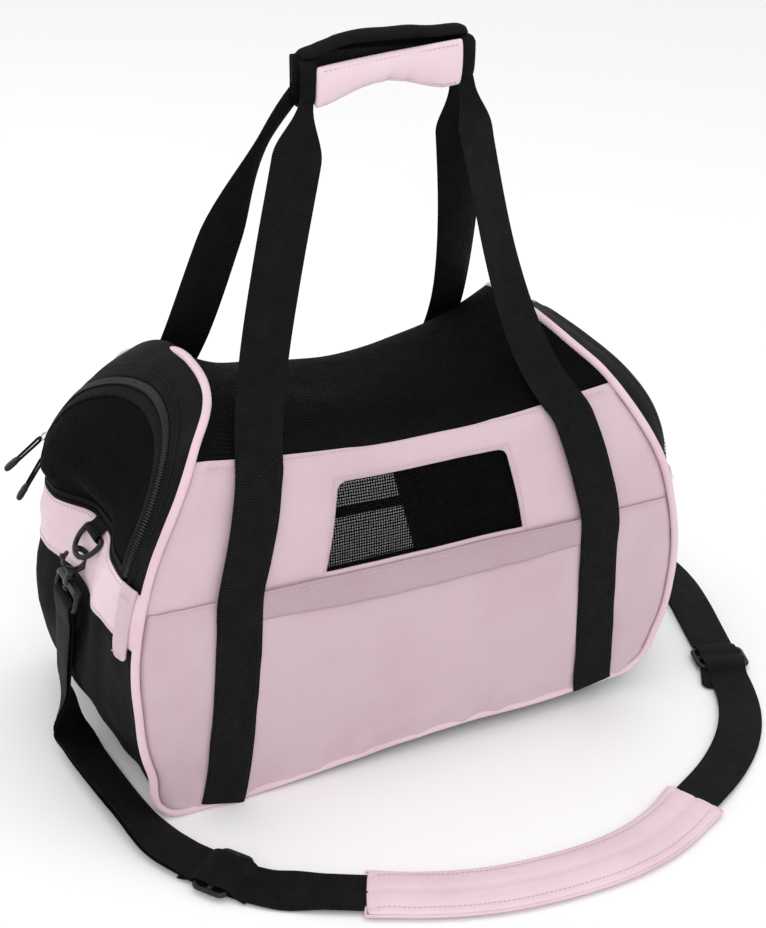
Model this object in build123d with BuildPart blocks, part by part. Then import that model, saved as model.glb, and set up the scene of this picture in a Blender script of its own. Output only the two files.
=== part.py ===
"""Soft-sided pet carrier bag: sewn shell, two zipped end doors, carry handle and shoulder strap.

Frame: +Z up, X along the bag, front of the bag towards -Y, origin on the floor under its middle.
All lengths are in millimetres.
"""

from build123d import *
import math
import os

os.makedirs("parts", exist_ok=True)

# ---------------------------------------------------------------- driving dimensions
BASE_HALF = 181.0  # half length of the flat base
BELLY_HALF = 258.0  # half length where the bag is longest
BELLY_Z = 119.0
CROWN_HALF = 152.0  # half length at the crown
CROWN_Z = 338.0
DEPTH_HALF = 127.0
SPRING_Z = 160.0  # the side walls are upright below this height and arch over above it
CORNER_POWER = 2.5  # superellipse powers of the lower corners, the lean and the arch
LEAN_POWER = 1.63
ARCH_POWER = 2.8
SKIN = 2.0  # thickness of a fabric wall
PLY = 1.5  # thickness of one extra layer sewn on
BEAD = 5.0  # width of the piping

PANEL_TOP = 301.0  # upper edge of the coated front and rear panels
HEM_TOP = 197.0  # seam that holds the pocket hem
POCKET_TOP = 190.0
HEM_LOW = 173.0
HEM_HALF = 142.0
# Mesh windows: lower edge, upper edge, and their half widths. The rear one has no pocket below it.
WINDOWS = {"front": (200.0, 269.0, 89.0, 74.0), "rear": (28.0, 262.0, 134.0, 62.0)}
BAR_LOW = 78.0  # tape across the rear window
BAR_HIGH = 90.0
BAR_HALF = 122.0

WEB = 38.0  # width of all webbing
WEB_THICK = 2.5
STRAP_LOW_X = 178.0  # centre of a handle strap at the base, at the hem and at the panel's top
STRAP_HEM_X = 162.0
STRAP_TOP_X = 132.0

END_BELLY = 248.0  # half length of the recessed end walls
END_KNEE = 227.0
KNEE_Z = 205.0
END_CROWN = 150.0
BAND_LOW = 165.0
BAND_HIGH = 209.0

HINGE_Z = 211.0  # the door's fold line, on the outside of the end wall
DOOR_RADIUS = 93.5  # half width of the door's mesh and radius of its top
DOOR_LEG = 25.0  # straight part of the zip, below the arch
COIL = 3.0  # width of one row of zip coils
GAP = 0.4  # running gap between pieces that part

RING_Y = -8.0
TAB_X = 234.5  # axis of the D-ring's bar
TAB_Z = 203.0
RING_WIRE = 2.2
RING_REACH = 23.0
RING_SWING = 46.0  # how far outwards the D-ring stands from straight down
HOOK_SWING = 15.0

GRIP_X = 11.0
GRIP_LOW = 528.0
GRIP_HIGH = 585.0
GRIP_HALF = 75.0
LEG_GAP = 8.0  # how far a handle leg stands off the middle plane under the grip
LEG_SHIFT = 69.0

PAD_WIDTH = 48.0
PAD_THICK = 10.0

# Middle line of the shoulder strap on the floor, from the left drop to the right drop.
LEFT_ROUTE = [(-259, 14), (-258, -34), (-253, -82), (-246, -129), (-235, -173), (-208, -209)]
FRONT_LEFT_ROUTE = [(-208, -209), (-187, -237), (-150, -257), (-118, -273)]
PAD_ROUTE = [(-118, -273), (-74, -295), (-25, -311), (28, -318), (81, -319), (132, -309), (180, -285)]
FRONT_RIGHT_ROUTE = [(180, -285), (222, -264), (261, -236), (291, -202), (310, -164), (322, -128)]
RIGHT_ROUTE = [
    (322, -128),
    (336, -86),
    (352, -42),
    (366, 4),
    (368, 54),
    (334, 92),
    (284, 88),
    (256, 46),
    (262, -4),
    (263, -30),
]
DROP_X = 262.0
DROP_TOP = 143.5


# ---------------------------------------------------------------- shape of the bag
def half_length(z):
    """Half length of the bag's side outline at height z."""
    if z < BELLY_Z:
        drop = 1 - z / BELLY_Z
        share = (1 - drop**CORNER_POWER) ** (1 / CORNER_POWER)
        return BASE_HALF + (BELLY_HALF - BASE_HALF) * share
    rise = (z - BELLY_Z) / (CROWN_Z - BELLY_Z)
    return BELLY_HALF - (BELLY_HALF - CROWN_HALF) * rise**LEAN_POWER


def half_depth(z):
    """Half depth of the bag's arched cross-section at height z."""
    rise = max(z - SPRING_Z, 0.0) / (CROWN_Z - SPRING_Z)
    return DEPTH_HALF * (1 - rise**ARCH_POWER) ** (1 / ARCH_POWER)


def corner_points(base, belly, floor, steps):
    """Points round one lower corner, from the base up to the longest height."""
    points = []
    for step in range(steps + 1):
        angle = math.radians(90 * step / steps)
        x = base + (belly - base) * math.sin(angle) ** (2 / CORNER_POWER)
        z = BELLY_Z - (BELLY_Z - floor) * math.cos(angle) ** (2 / CORNER_POWER)
        points.append((x, z))
    return points


def side_outline(inset, mode=Mode.ADD):
    """The bag seen from the front, in the XZ plane, open-ended above the crown."""
    high = CROWN_Z + 15
    heights = [BELLY_Z + (CROWN_Z - BELLY_Z) * step / 5 for step in range(6)]
    lean = [(half_length(z) - inset, z) for z in heights]
    with BuildLine() as line:
        Line((0, inset), (BASE_HALF, inset))
        Spline(*corner_points(BASE_HALF, BELLY_HALF - inset, inset, 5), tangents=[(1, 0), (0, 1)])
        Spline(*lean)
        Line(lean[-1], (lean[-1][0] - 9, high))
        Line((lean[-1][0] - 9, high), (0, high))
        mirror(about=Plane.YZ)
    make_face(line.edges(), mode=mode)


def end_outline(inset, mode=Mode.ADD):
    """The recessed end walls seen from the front: belly, then a straight leaning door."""
    slope = (END_KNEE - END_CROWN) / (CROWN_Z - KNEE_Z)
    high = CROWN_Z + 15
    top = (END_CROWN - inset - 15 * slope, high)
    with BuildLine() as line:
        Line((0, inset), (BASE_HALF, inset))
        Spline(*corner_points(BASE_HALF, END_BELLY - inset, inset, 5), tangents=[(1, 0), (0, 1)])
        Spline((END_BELLY - inset, BELLY_Z), (END_KNEE - inset, KNEE_Z), tangents=[(0, 1), (-slope, 1)])
        Line((END_KNEE - inset, KNEE_Z), top)
        Line(top, (0, high))
        mirror(about=Plane.YZ)
    make_face(line.edges(), mode=mode)


def arch_profile(inset, mode=Mode.ADD):
    """The bag seen from its end, in the YZ plane. A negative inset stands outside the wall."""
    depth = DEPTH_HALF - inset
    arch = []
    for step in range(1, 6):
        angle = math.radians(18 * step)
        y = depth * math.cos(angle) ** (2 / ARCH_POWER) if step < 5 else 0
        z = SPRING_Z + (CROWN_Z - inset - SPRING_Z) * math.sin(angle) ** (2 / ARCH_POWER)
        arch.append((y, z))
    with BuildLine() as line:
        Line((0, 0), (depth, 0))
        Line((depth, 0), (depth, SPRING_Z))
        Spline((depth, SPRING_Z), *arch, tangents=[(0, 1), (-1, 0)])
        mirror(about=Plane.YZ)
    make_face(line.edges(), mode=mode)


def wall(outer, inner, low, high, side):
    """One layer of the front (-1), rear (1) or both (0) walls between two heights."""
    reach = DEPTH_HALF + 20
    middle = side * reach / 2
    width = reach if side else 2 * reach
    with BuildSketch(Plane.YZ) as section:
        arch_profile(outer)
        arch_profile(inner, mode=Mode.SUBTRACT)
        with Locations((middle, (low + high) / 2)):
            Rectangle(width, high - low, mode=Mode.INTERSECT)
    extrude(section.sketch, amount=BELLY_HALF + 20, both=True)
    with BuildSketch(Plane.XZ) as outline:
        side_outline(0)
    extrude(outline.sketch, amount=reach, both=True, mode=Mode.INTERSECT)


def window_outline(low, high, low_half, high_half):
    with BuildLine() as line:
        Polyline((-low_half, low), (low_half, low), (high_half, high), (-high_half, high), close=True)
    make_face(line.edges())


def finish(part, name):
    part.label = name
    export_step(part, "parts/" + name + ".step")


def finish_pair(part, name):
    """Write a left-hand piece and its mirror image at the right-hand end."""
    finish(part, "left_" + name)
    with BuildPart() as other:
        add(part)
        mirror(about=Plane.YZ)
        split(bisect_by=Plane.YZ, keep=Keep.TOP)
    finish(other.part, "right_" + name)


# ---------------------------------------------------------------- front and rear walls
# Tape across the rear window, in one node with the rear straps that it is cut from.
with BuildPart() as window_bar:
    wall(-PLY, 0, BAR_LOW, BAR_HIGH, 1)
    with BuildSketch(Plane.XZ):
        with Locations((0, (BAR_LOW + BAR_HIGH) / 2)):
            Rectangle(2 * BAR_HALF, BAR_HIGH - BAR_LOW)
    extrude(amount=2 * DEPTH_HALF, both=True, mode=Mode.INTERSECT)

for side, name in ((-1, "front"), (1, "rear")):
    with BuildPart() as panel:
        wall(0, SKIN, 0, PANEL_TOP, side)
        with BuildSketch(Plane.XZ) as opening:
            window_outline(*WINDOWS[name])
        extrude(opening.sketch, amount=-side * 2 * DEPTH_HALF, mode=Mode.SUBTRACT)
    finish(panel.part, name + "_panel")

    with BuildPart() as window:
        wall(0.5, SKIN, *WINDOWS[name][:2], side)
        with BuildSketch(Plane.XZ) as opening:
            window_outline(*WINDOWS[name])
        extrude(opening.sketch, amount=-side * 2 * DEPTH_HALF, mode=Mode.INTERSECT)
    finish(window.part, name + "_window_mesh")

    # Piping: a bead along the outer edge of the wall, open at the crown where the two meet.
    with BuildPart() as piping:
        wall(-BEAD, -0.1, 1, CROWN_Z + 20, side)
        with BuildSketch(Plane.XZ):
            side_outline(BEAD)
        extrude(amount=2 * DEPTH_HALF, both=True, mode=Mode.SUBTRACT)
    finish(piping.part, name + "_piping")

    # Handle webbing sewn to the wall, splayed towards the base.
    with BuildPart() as sewn:
        wall(-PLY - WEB_THICK, -PLY, BEAD + 1, PANEL_TOP, side)
        with BuildSketch(Plane.XZ):
            with BuildLine():
                Polyline(
                    (STRAP_LOW_X - WEB / 2, 0),
                    (STRAP_LOW_X + WEB / 2, 0),
                    (STRAP_HEM_X + WEB / 2, HEM_TOP),
                    (STRAP_TOP_X + WEB / 2, PANEL_TOP),
                    (STRAP_TOP_X - WEB / 2, PANEL_TOP),
                    (STRAP_HEM_X - WEB / 2, HEM_TOP),
                    close=True,
                )
            make_face()
            mirror(about=Plane.YZ)
        extrude(amount=2 * DEPTH_HALF, both=True, mode=Mode.INTERSECT)
        if side == 1:
            add(window_bar.part)
    finish(sewn.part, name + "_sewn_straps")

# The front pocket: a patch over the lower wall and a hem that covers its mouth.
with BuildPart() as pocket:
    wall(-PLY, 0, BEAD + 1, POCKET_TOP, -1)
    with BuildSketch(Plane.XZ):
        side_outline(BEAD + 1)
    extrude(amount=2 * DEPTH_HALF, both=True, mode=Mode.INTERSECT)
finish(pocket.part, "pocket_panel")

with BuildPart() as hem:
    wall(-2 * PLY, -PLY, HEM_LOW, HEM_TOP, -1)
    with BuildSketch(Plane.XZ):
        with Locations((0, (HEM_LOW + HEM_TOP) / 2)):
            Rectangle(2 * HEM_HALF, HEM_TOP - HEM_LOW)
    extrude(amount=2 * DEPTH_HALF, both=True, mode=Mode.INTERSECT)
finish(hem.part, "pocket_hem")

with BuildPart() as top_mesh:
    wall(0, SKIN, PANEL_TOP, CROWN_Z + 5, 0)
finish(top_mesh.part, "top_mesh")

# ---------------------------------------------------------------- base
with BuildPart() as base_panel:
    with BuildSketch():
        Rectangle(2 * BASE_HALF, 2 * (DEPTH_HALF - SKIN))
    extrude(amount=SKIN)
finish(base_panel.part, "base_panel")

with BuildPart() as base_board:
    with BuildSketch(Plane.XY.offset(SKIN)):
        RectangleRounded(2 * BASE_HALF, 2 * (DEPTH_HALF - SKIN) - 10, 20)
    extrude(amount=3)
finish(base_board.part, "base_board")

with BuildPart() as fleece_mat:
    with BuildSketch(Plane.XY.offset(SKIN + 3)):
        RectangleRounded(2 * BASE_HALF, 2 * (DEPTH_HALF - SKIN) - 12, 24)
    extrude(amount=12)
    fillet(fleece_mat.faces().sort_by(Axis.Z)[-1].edges(), 4)
finish(fleece_mat.part, "fleece_mat")


# ---------------------------------------------------------------- end walls (left; right is mirrored)
def end_wall(low, high, outer=0.0, inner=SKIN, near=BASE_HALF):
    """A strip of the left end wall between two heights, from front wall to rear wall."""
    with BuildSketch(Plane.XZ) as strip:
        end_outline(outer)
        end_outline(inner, mode=Mode.SUBTRACT)
        with Locations((-near - 100, (low + high) / 2)):
            Rectangle(200, high - low, mode=Mode.INTERSECT)
    extrude(strip.sketch, amount=DEPTH_HALF, both=True)
    with BuildSketch(Plane.YZ) as section:
        arch_profile(SKIN)
    extrude(section.sketch, amount=2 * BELLY_HALF, both=True, mode=Mode.INTERSECT)


with BuildPart() as end_lower:
    end_wall(0, BAND_LOW)
finish_pair(end_lower.part, "end_lower")

with BuildPart() as end_band:
    end_wall(BAND_LOW, BAND_HIGH, inner=SKIN + PLY)
finish_pair(end_band.part, "end_band")

# The door's plane: local x towards the front, local y up the lean, z outwards.
lean_angle = math.atan2(END_KNEE - END_CROWN, CROWN_Z - KNEE_Z)
door_normal = Vector(-math.cos(lean_angle), 0, math.sin(lean_angle))
door_origin = Vector(-(END_KNEE - (HINGE_Z - KNEE_Z) * math.tan(lean_angle)), 0, HINGE_Z)
door_plane = Plane(origin=door_origin, x_dir=(0, -1, 0), z_dir=door_normal)
coil_radius = DOOR_RADIUS + COIL + GAP


def door_shape(radius, foot, mode=Mode.ADD):
    """A doorway outline: straight legs from the foot, then a half circle."""
    with Locations((0, (foot + DOOR_LEG) / 2)):
        Rectangle(2 * radius, DOOR_LEG - foot, mode=mode)
    with Locations((0, DOOR_LEG)):
        Circle(radius, mode=mode)


def trim_foot(foot):
    with Locations((0, foot - 100)):
        Rectangle(300, 200, mode=Mode.SUBTRACT)


with BuildPart() as zip_gusset:
    end_wall(HINGE_Z, CROWN_Z + 10, near=END_CROWN / 2)
    with BuildSketch(door_plane):
        door_shape(coil_radius + COIL, -20)
    extrude(amount=20, both=True, mode=Mode.SUBTRACT)
finish_pair(zip_gusset.part, "zip_gusset")

with BuildPart() as zip_coil:
    with BuildSketch(door_plane.offset(-SKIN)):
        door_shape(coil_radius + COIL, 2)
        door_shape(coil_radius, 0, mode=Mode.SUBTRACT)
        trim_foot(3)
    extrude(amount=SKIN + 0.5)
finish_pair(zip_coil.part, "zip_coil")

# Short tabs that cover the ends of the zip, beside the piping.
with BuildPart() as zip_tabs:
    end_wall(BAND_LOW - 14, BAND_HIGH + 1, outer=-2, inner=-0.1)
    with BuildSketch(Plane.YZ):
        with Locations((DOOR_RADIUS + 15, 180), (-DOOR_RADIUS - 15, 180)):
            Rectangle(20, 100)
    extrude(amount=2 * BELLY_HALF, both=True, mode=Mode.INTERSECT)
finish_pair(zip_tabs.part, "zip_tabs")

# ---------------------------------------------------------------- doors
with BuildPart() as door_mesh:
    with BuildSketch(door_plane.offset(-SKIN)):
        door_shape(DOOR_RADIUS, 0)
        trim_foot(1)
    extrude(amount=SKIN)
finish_pair(door_mesh.part, "door_mesh")

with BuildPart() as door_coil:
    with BuildSketch(door_plane.offset(-SKIN)):
        door_shape(DOOR_RADIUS + COIL, 0)
        door_shape(DOOR_RADIUS, -2, mode=Mode.SUBTRACT)
        trim_foot(3)
    extrude(amount=SKIN + 0.5)
finish_pair(door_coil.part, "door_coil")

# ---------------------------------------------------------------- zip sliders and pulls
SLIDER_LONG = 13.0
SLIDER_WIDE = 8.0
SLIDER_LIFT = 0.9  # underside of the slider above the tape
SLIDER_THICK = 4.0
UPPER_SLIDER = DOOR_LEG + 5  # how far up the rear leg each slider stands
LOWER_SLIDER = 9.5
slider_offset = coil_radius + 0.3 + SLIDER_WIDE / 2


def slider(up):
    with BuildSketch(door_plane.offset(SLIDER_LIFT)) as body:
        with Locations((-slider_offset, up)):
            Trapezoid(SLIDER_WIDE, SLIDER_LONG, 82, rotation=180)
    extrude(body.sketch, amount=SLIDER_THICK - 1.5)
    with BuildSketch(door_plane.offset(SLIDER_LIFT + SLIDER_THICK - 1.5)) as bail:
        with Locations((-slider_offset, up)):
            Rectangle(2.6, 9)
    extrude(bail.sketch, amount=3)


def pull(up, outward, rearward):
    """A zip pull: a ring and a flat loop, hanging from the slider at an angle."""
    height = SLIDER_LIFT + SLIDER_THICK + 4.2
    top = door_plane.from_local_coords(Vector(-slider_offset, up, height))
    down = Vector(-math.sin(outward), math.sin(rearward), -math.cos(outward)).normalized()
    across = Vector(0, 1, 0) - down * down.Y
    hanging = Plane(origin=top, x_dir=across, z_dir=across.cross(-down))
    with BuildSketch(hanging.offset(-0.7)) as links:
        with Locations((0, -4)):
            Circle(4)
        with Locations((0, -28)):
            SlotOverall(44, 5, rotation=90)
    extrude(links.sketch, amount=1.4)
    print("pull hangs from", top)


PULLS = {"upper": (UPPER_SLIDER, 46, 14), "lower": (LOWER_SLIDER, 33, 4)}
for name, (up, outward, rearward) in PULLS.items():
    with BuildPart() as slider_part:
        slider(up)
    finish_pair(slider_part.part, name + "_slider")
    with BuildPart() as pull_part:
        pull(up, math.radians(outward), math.radians(rearward))
    finish_pair(pull_part.part, name + "_pull")

# ---------------------------------------------------------------- D-ring and its tab
TAB_WIDE = 24.0
tab_axis = Plane(origin=(-TAB_X, RING_Y, TAB_Z), x_dir=(1, 0, 0), z_dir=(0, -1, 0))
with BuildPart() as ring_tab:
    with BuildSketch(tab_axis.offset(-TAB_WIDE / 2)):
        Circle(RING_WIRE + 1.8)
        with Locations((2.6, 0)):
            Rectangle(5.2, 2 * (RING_WIRE + 1.8))
    extrude(amount=TAB_WIDE)
    with BuildSketch(tab_axis.offset(-TAB_WIDE / 2)):
        Circle(RING_WIRE + 0.2)
    extrude(amount=TAB_WIDE, mode=Mode.SUBTRACT)
    with BuildSketch(Plane.XZ):
        end_outline(-20)
        end_outline(-0.1, mode=Mode.SUBTRACT)
    extrude(amount=DEPTH_HALF, both=True, mode=Mode.INTERSECT)
finish_pair(ring_tab.part, "ring_tab")

swing = math.radians(RING_SWING)
ring_down = Vector(-math.sin(swing), 0, -math.cos(swing))
ring_plane = Plane(
    origin=(-TAB_X, RING_Y, TAB_Z), x_dir=(0, 1, 0), z_dir=Vector(0, 1, 0).cross(-ring_down)
)
RING_HALF = 17.0
with BuildPart() as d_ring:
    with BuildLine(ring_plane) as ring_path:
        Line((-RING_HALF, 0), (RING_HALF, 0))
        Line((RING_HALF, 0), (RING_HALF, -RING_REACH + RING_HALF))
        Line((-RING_HALF, 0), (-RING_HALF, -RING_REACH + RING_HALF))
        ThreePointArc(
            (-RING_HALF, -RING_REACH + RING_HALF),
            (0, -RING_REACH),
            (RING_HALF, -RING_REACH + RING_HALF),
        )
        fillet(ring_path.vertices().sort_by(Axis.Z)[-2:], 3)
    ring_start = Plane(origin=ring_path.line @ 0, z_dir=ring_path.line % 0)
    with BuildSketch(ring_start):
        Circle(RING_WIRE)
    sweep(path=ring_path.line)
finish_pair(d_ring.part, "d_ring")

# ---------------------------------------------------------------- snap hook
HOOK_RADIUS = 12.0
HOOK_INNER = 7.5
HOOK_THICK = 7.0
WIRE_TO_HOLE = 4.3  # from the ring's wire down to the middle of the hook's hole
GATE_HALF = 40.0  # half the angle that the gate closes
NOSE_LOW = 7.4  # underside of the hook's nose above the hole's middle, so that the gate passes it
SHANK_END = 22.0
EYE_TOP = 22.4
EYE_LOW = 43.0

hang = math.radians(HOOK_SWING)
hook_down = Vector(-math.sin(hang), 0, -math.cos(hang))
wire_point = Vector(-TAB_X, RING_Y, TAB_Z) + ring_down * RING_REACH
# Hook plane: local x inwards, local y up the hook, origin at the ring's wire.
hook_plane = Plane(origin=wire_point, x_dir=Vector(0, -1, 0).cross(-hook_down) * -1, z_dir=(0, -1, 0))


def gate_sector(half_angle, mode):
    """A wedge on the hook's outer side, where the gate is."""
    far = 2 * HOOK_RADIUS
    angle = math.radians(half_angle)
    with BuildLine() as line:
        Polyline(
            (0, -WIRE_TO_HOLE),
            (-far * math.cos(angle), -WIRE_TO_HOLE + far * math.sin(angle)),
            (-far * math.cos(angle), -WIRE_TO_HOLE - far * math.sin(angle)),
            close=True,
        )
    make_face(line.edges(), mode=mode)


with BuildPart() as snap_hook:
    with BuildSketch(hook_plane.offset(-HOOK_THICK / 2)):
        with Locations((0, -WIRE_TO_HOLE)):
            Circle(HOOK_RADIUS)
        with Locations((0, -(WIRE_TO_HOLE + SHANK_END) / 2)):
            Rectangle(10, SHANK_END - WIRE_TO_HOLE)
        with Locations((0, -WIRE_TO_HOLE)):
            Circle(HOOK_INNER, mode=Mode.SUBTRACT)
        gate_sector(GATE_HALF, Mode.SUBTRACT)
        with Locations((-HOOK_RADIUS, NOSE_LOW / 2 - WIRE_TO_HOLE)):
            Rectangle(2 * HOOK_RADIUS - 3.4, NOSE_LOW, mode=Mode.SUBTRACT)
    extrude(amount=HOOK_THICK)
    shank_plane = Plane(origin=wire_point + hook_down * SHANK_END, z_dir=hook_down)
    with BuildSketch(shank_plane):
        Circle(3)
    extrude(amount=7.5)
    with BuildSketch(shank_plane.offset(7.5)):
        Circle(4.4)
    extrude(amount=2)
finish_pair(snap_hook.part, "snap_hook")

with BuildPart() as hook_gate:
    with BuildSketch(hook_plane.offset(-HOOK_THICK / 2 + 1)):
        with Locations((0, -WIRE_TO_HOLE)):
            Circle(HOOK_RADIUS - 0.6)
            Circle(HOOK_RADIUS - 3.6, mode=Mode.SUBTRACT)
        gate_sector(GATE_HALF - 4, Mode.INTERSECT)
    extrude(amount=HOOK_THICK - 2)
finish_pair(hook_gate.part, "hook_gate")

eye_plane = Plane(origin=wire_point, x_dir=(0, 1, 0), z_dir=Vector(0, 1, 0).cross(-hook_down))
with BuildPart() as swivel_eye:
    with BuildSketch(eye_plane.offset(-3.5)):
        with Locations((0, -(EYE_TOP + EYE_LOW) / 2)):
            RectangleRounded(50, EYE_LOW - EYE_TOP, 5)
        with Locations((0, -(EYE_TOP + 6.5 + EYE_LOW - 4.5) / 2)):
            RectangleRounded(41, EYE_LOW - EYE_TOP - 11, 2, mode=Mode.SUBTRACT)
    extrude(amount=7)
    with BuildSketch(shank_plane):
        Circle(3.2)
    extrude(amount=7, mode=Mode.SUBTRACT)
finish_pair(swivel_eye.part, "swivel_eye")


# ---------------------------------------------------------------- shoulder strap
def corner_radii(points):
    """The largest tangent arc that each corner of a route allows."""
    radii = []
    for before, here, after in zip(points, points[1:], points[2:]):
        run_in = Vector(*here) - Vector(*before)
        run_out = Vector(*after) - Vector(*here)
        half_turn = math.radians(run_in.get_angle(run_out)) / 2
        radii.append(0.45 * min(run_in.length, run_out.length) / math.tan(half_turn))
    return radii


def flat_band(points, width, thick):
    """A flat band that lies on the floor along a route, made of runs joined by arcs."""
    radii = corner_radii(points)
    with BuildLine() as path:
        FilletPolyline(*points, radius=radii)
    middle = path.wires()[0]
    with BuildSketch(Plane(origin=middle @ 0, x_dir=(0, 0, 1), z_dir=middle % 0)) as section:
        with Locations((thick / 2, 0)):
            Rectangle(thick, width)
    sweep(section.sketch, path=middle)
    print("band", round(middle.length), "mm long, radii", [round(radius) for radius in radii])
    return middle.length * width * thick


def slot_fill(centre, slot):
    """Webbing that rises through one slot of a strap adjuster."""
    turn, shift = slot
    with BuildSketch(Plane.XY.offset(WEB_THICK)) as rise:
        with Locations(Location(centre, turn)):
            with Locations((shift, 0)):
                Rectangle(6, WEB)
    extrude(rise.sketch, amount=4)


def adjuster(centre, turn):
    """A tri-glide: a flat frame with a middle bar and two slots for the webbing."""
    with BuildSketch(Plane.XY.offset(WEB_THICK + 0.2)) as frame:
        with Locations(Location(centre, turn)):
            RectangleRounded(30, 50, 4)
            with Locations((SLOT_SHIFT, 0), (-SLOT_SHIFT, 0)):
                Rectangle(7, WEB + 2, mode=Mode.SUBTRACT)
    extrude(frame.sketch, amount=4.3)


def heading(start, end):
    return math.degrees(math.atan2(end[1] - start[1], end[0] - start[0]))


LEFT_HEADING = heading(*FRONT_LEFT_ROUTE[:2])
RIGHT_HEADING = heading(*RIGHT_ROUTE[:2])
SLOT_SHIFT = 7.0
BANDS = {
    "strap_left_floor": (LEFT_ROUTE, -1, (LEFT_HEADING, -SLOT_SHIFT)),
    "strap_front_left": (FRONT_LEFT_ROUTE, 0, (LEFT_HEADING, SLOT_SHIFT)),
    "strap_front_right": (FRONT_RIGHT_ROUTE, -1, (RIGHT_HEADING, -SLOT_SHIFT)),
    "strap_right_floor": (RIGHT_ROUTE, 0, (RIGHT_HEADING, SLOT_SHIFT)),
}
for name, (route, adjuster_end, slot) in BANDS.items():
    with BuildPart() as band:
        expected = flat_band(route, WEB, WEB_THICK)
        print(name, "volume", round(band.part.volume), "of", round(expected))
        slot_fill(route[adjuster_end], slot)
    finish(band.part, name)

with BuildPart() as shoulder_pad:
    flat_band(PAD_ROUTE, PAD_WIDTH, PAD_THICK)
finish(shoulder_pad.part, "shoulder_pad")

for centre, turn, name in (
    (LEFT_ROUTE[-1], LEFT_HEADING, "left_adjuster"),
    (RIGHT_ROUTE[0], RIGHT_HEADING, "right_adjuster"),
):
    with BuildPart() as adjuster_part:
        adjuster(centre, turn)
    finish(adjuster_part.part, name)

for side, name in ((-1, "left"), (1, "right")):
    with BuildPart() as drop:
        with BuildSketch(Plane.XY.offset(WEB_THICK)):
            with Locations((side * DROP_X, RING_Y)):
                Rectangle(4, WEB)
        extrude(amount=DROP_TOP - WEB_THICK)
    finish(drop.part, "strap_" + name + "_drop")

# ---------------------------------------------------------------- carry handle
leg_foot_y = half_depth(PANEL_TOP) + PLY + WEB_THICK / 2
for side, name in ((-1, "front"), (1, "rear")):
    with BuildPart() as legs:
        for hand in (-1, 1):
            foot = Vector(hand * STRAP_TOP_X, side * leg_foot_y, PANEL_TOP)
            head = Vector(GRIP_X + hand * LEG_SHIFT, side * LEG_GAP, GRIP_LOW)
            rise = head - foot
            across = Vector(1, 0, 0) - rise * (rise.X / rise.length**2)
            with BuildSketch(Plane(origin=foot, x_dir=across, z_dir=rise)):
                Rectangle(WEB, WEB_THICK)
            extrude(amount=rise.length + 20, both=True)
        with BuildSketch(Plane.XY.offset(PANEL_TOP + 0.5)):
            Rectangle(2 * BELLY_HALF, 2 * DEPTH_HALF)
        extrude(amount=GRIP_LOW - PANEL_TOP - 2, mode=Mode.INTERSECT)
    finish(legs.part, name + "_handle_webbing")

with BuildPart() as grip_webbing:
    with BuildSketch(Plane.YZ.offset(GRIP_X - GRIP_HALF - 3)):
        with Locations((0, GRIP_LOW + 4 + WEB / 2)):
            Rectangle(6, WEB)
    extrude(amount=2 * GRIP_HALF + 6)
finish(grip_webbing.part, "grip_webbing")

with BuildPart() as grip_back_pad:
    with BuildSketch(Plane.YZ.offset(GRIP_X - GRIP_HALF)):
        with Locations((8.2, (GRIP_LOW + GRIP_HIGH) / 2)):
            RectangleRounded(10, GRIP_HIGH - GRIP_LOW, 4)
        with Locations((2, GRIP_HIGH - 5.5)):
            RectangleRounded(22, 11, 5)
    extrude(amount=2 * GRIP_HALF)
finish(grip_back_pad.part, "grip_back_pad")

with BuildPart() as grip_front_flap:
    with BuildSketch(Plane.YZ.offset(GRIP_X - 62)):
        with Locations((-8, GRIP_LOW + 20)):
            RectangleRounded(9, 40, 3)
    extrude(amount=2 * 62)
finish(grip_front_flap.part, "grip_front_flap")

# Joint places, for whoever wires the moving pieces together.
print("door fold", door_origin, "normal", door_normal)
print("zip arch centre", door_plane.from_local_coords(Vector(0, DOOR_LEG, 0)))
print("ring wire", wire_point, "hook direction", hook_down)
gate_angle = math.radians(GATE_HALF - 4)
gate_middle = HOOK_RADIUS - 2.1
gate_foot = Vector(-gate_middle * math.cos(gate_angle), -WIRE_TO_HOLE - gate_middle * math.sin(gate_angle), 0)
print("gate hinge", hook_plane.from_local_coords(gate_foot))
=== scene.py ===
"""Pet carrier bag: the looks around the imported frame.

Metres, +Z up, X along the bag, the front with the pocket towards -Y, origin on the floor.
The walls and all that is sewn to them lie on two surface functions, on_wall and on_end, so that layers
stay together. settle, curl and soften say how the whole bag has slumped.
"""

import math

import bmesh
import bpy
import numpy as np
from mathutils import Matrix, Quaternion, Vector, noise
from mathutils.bvhtree import BVHTree


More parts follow.
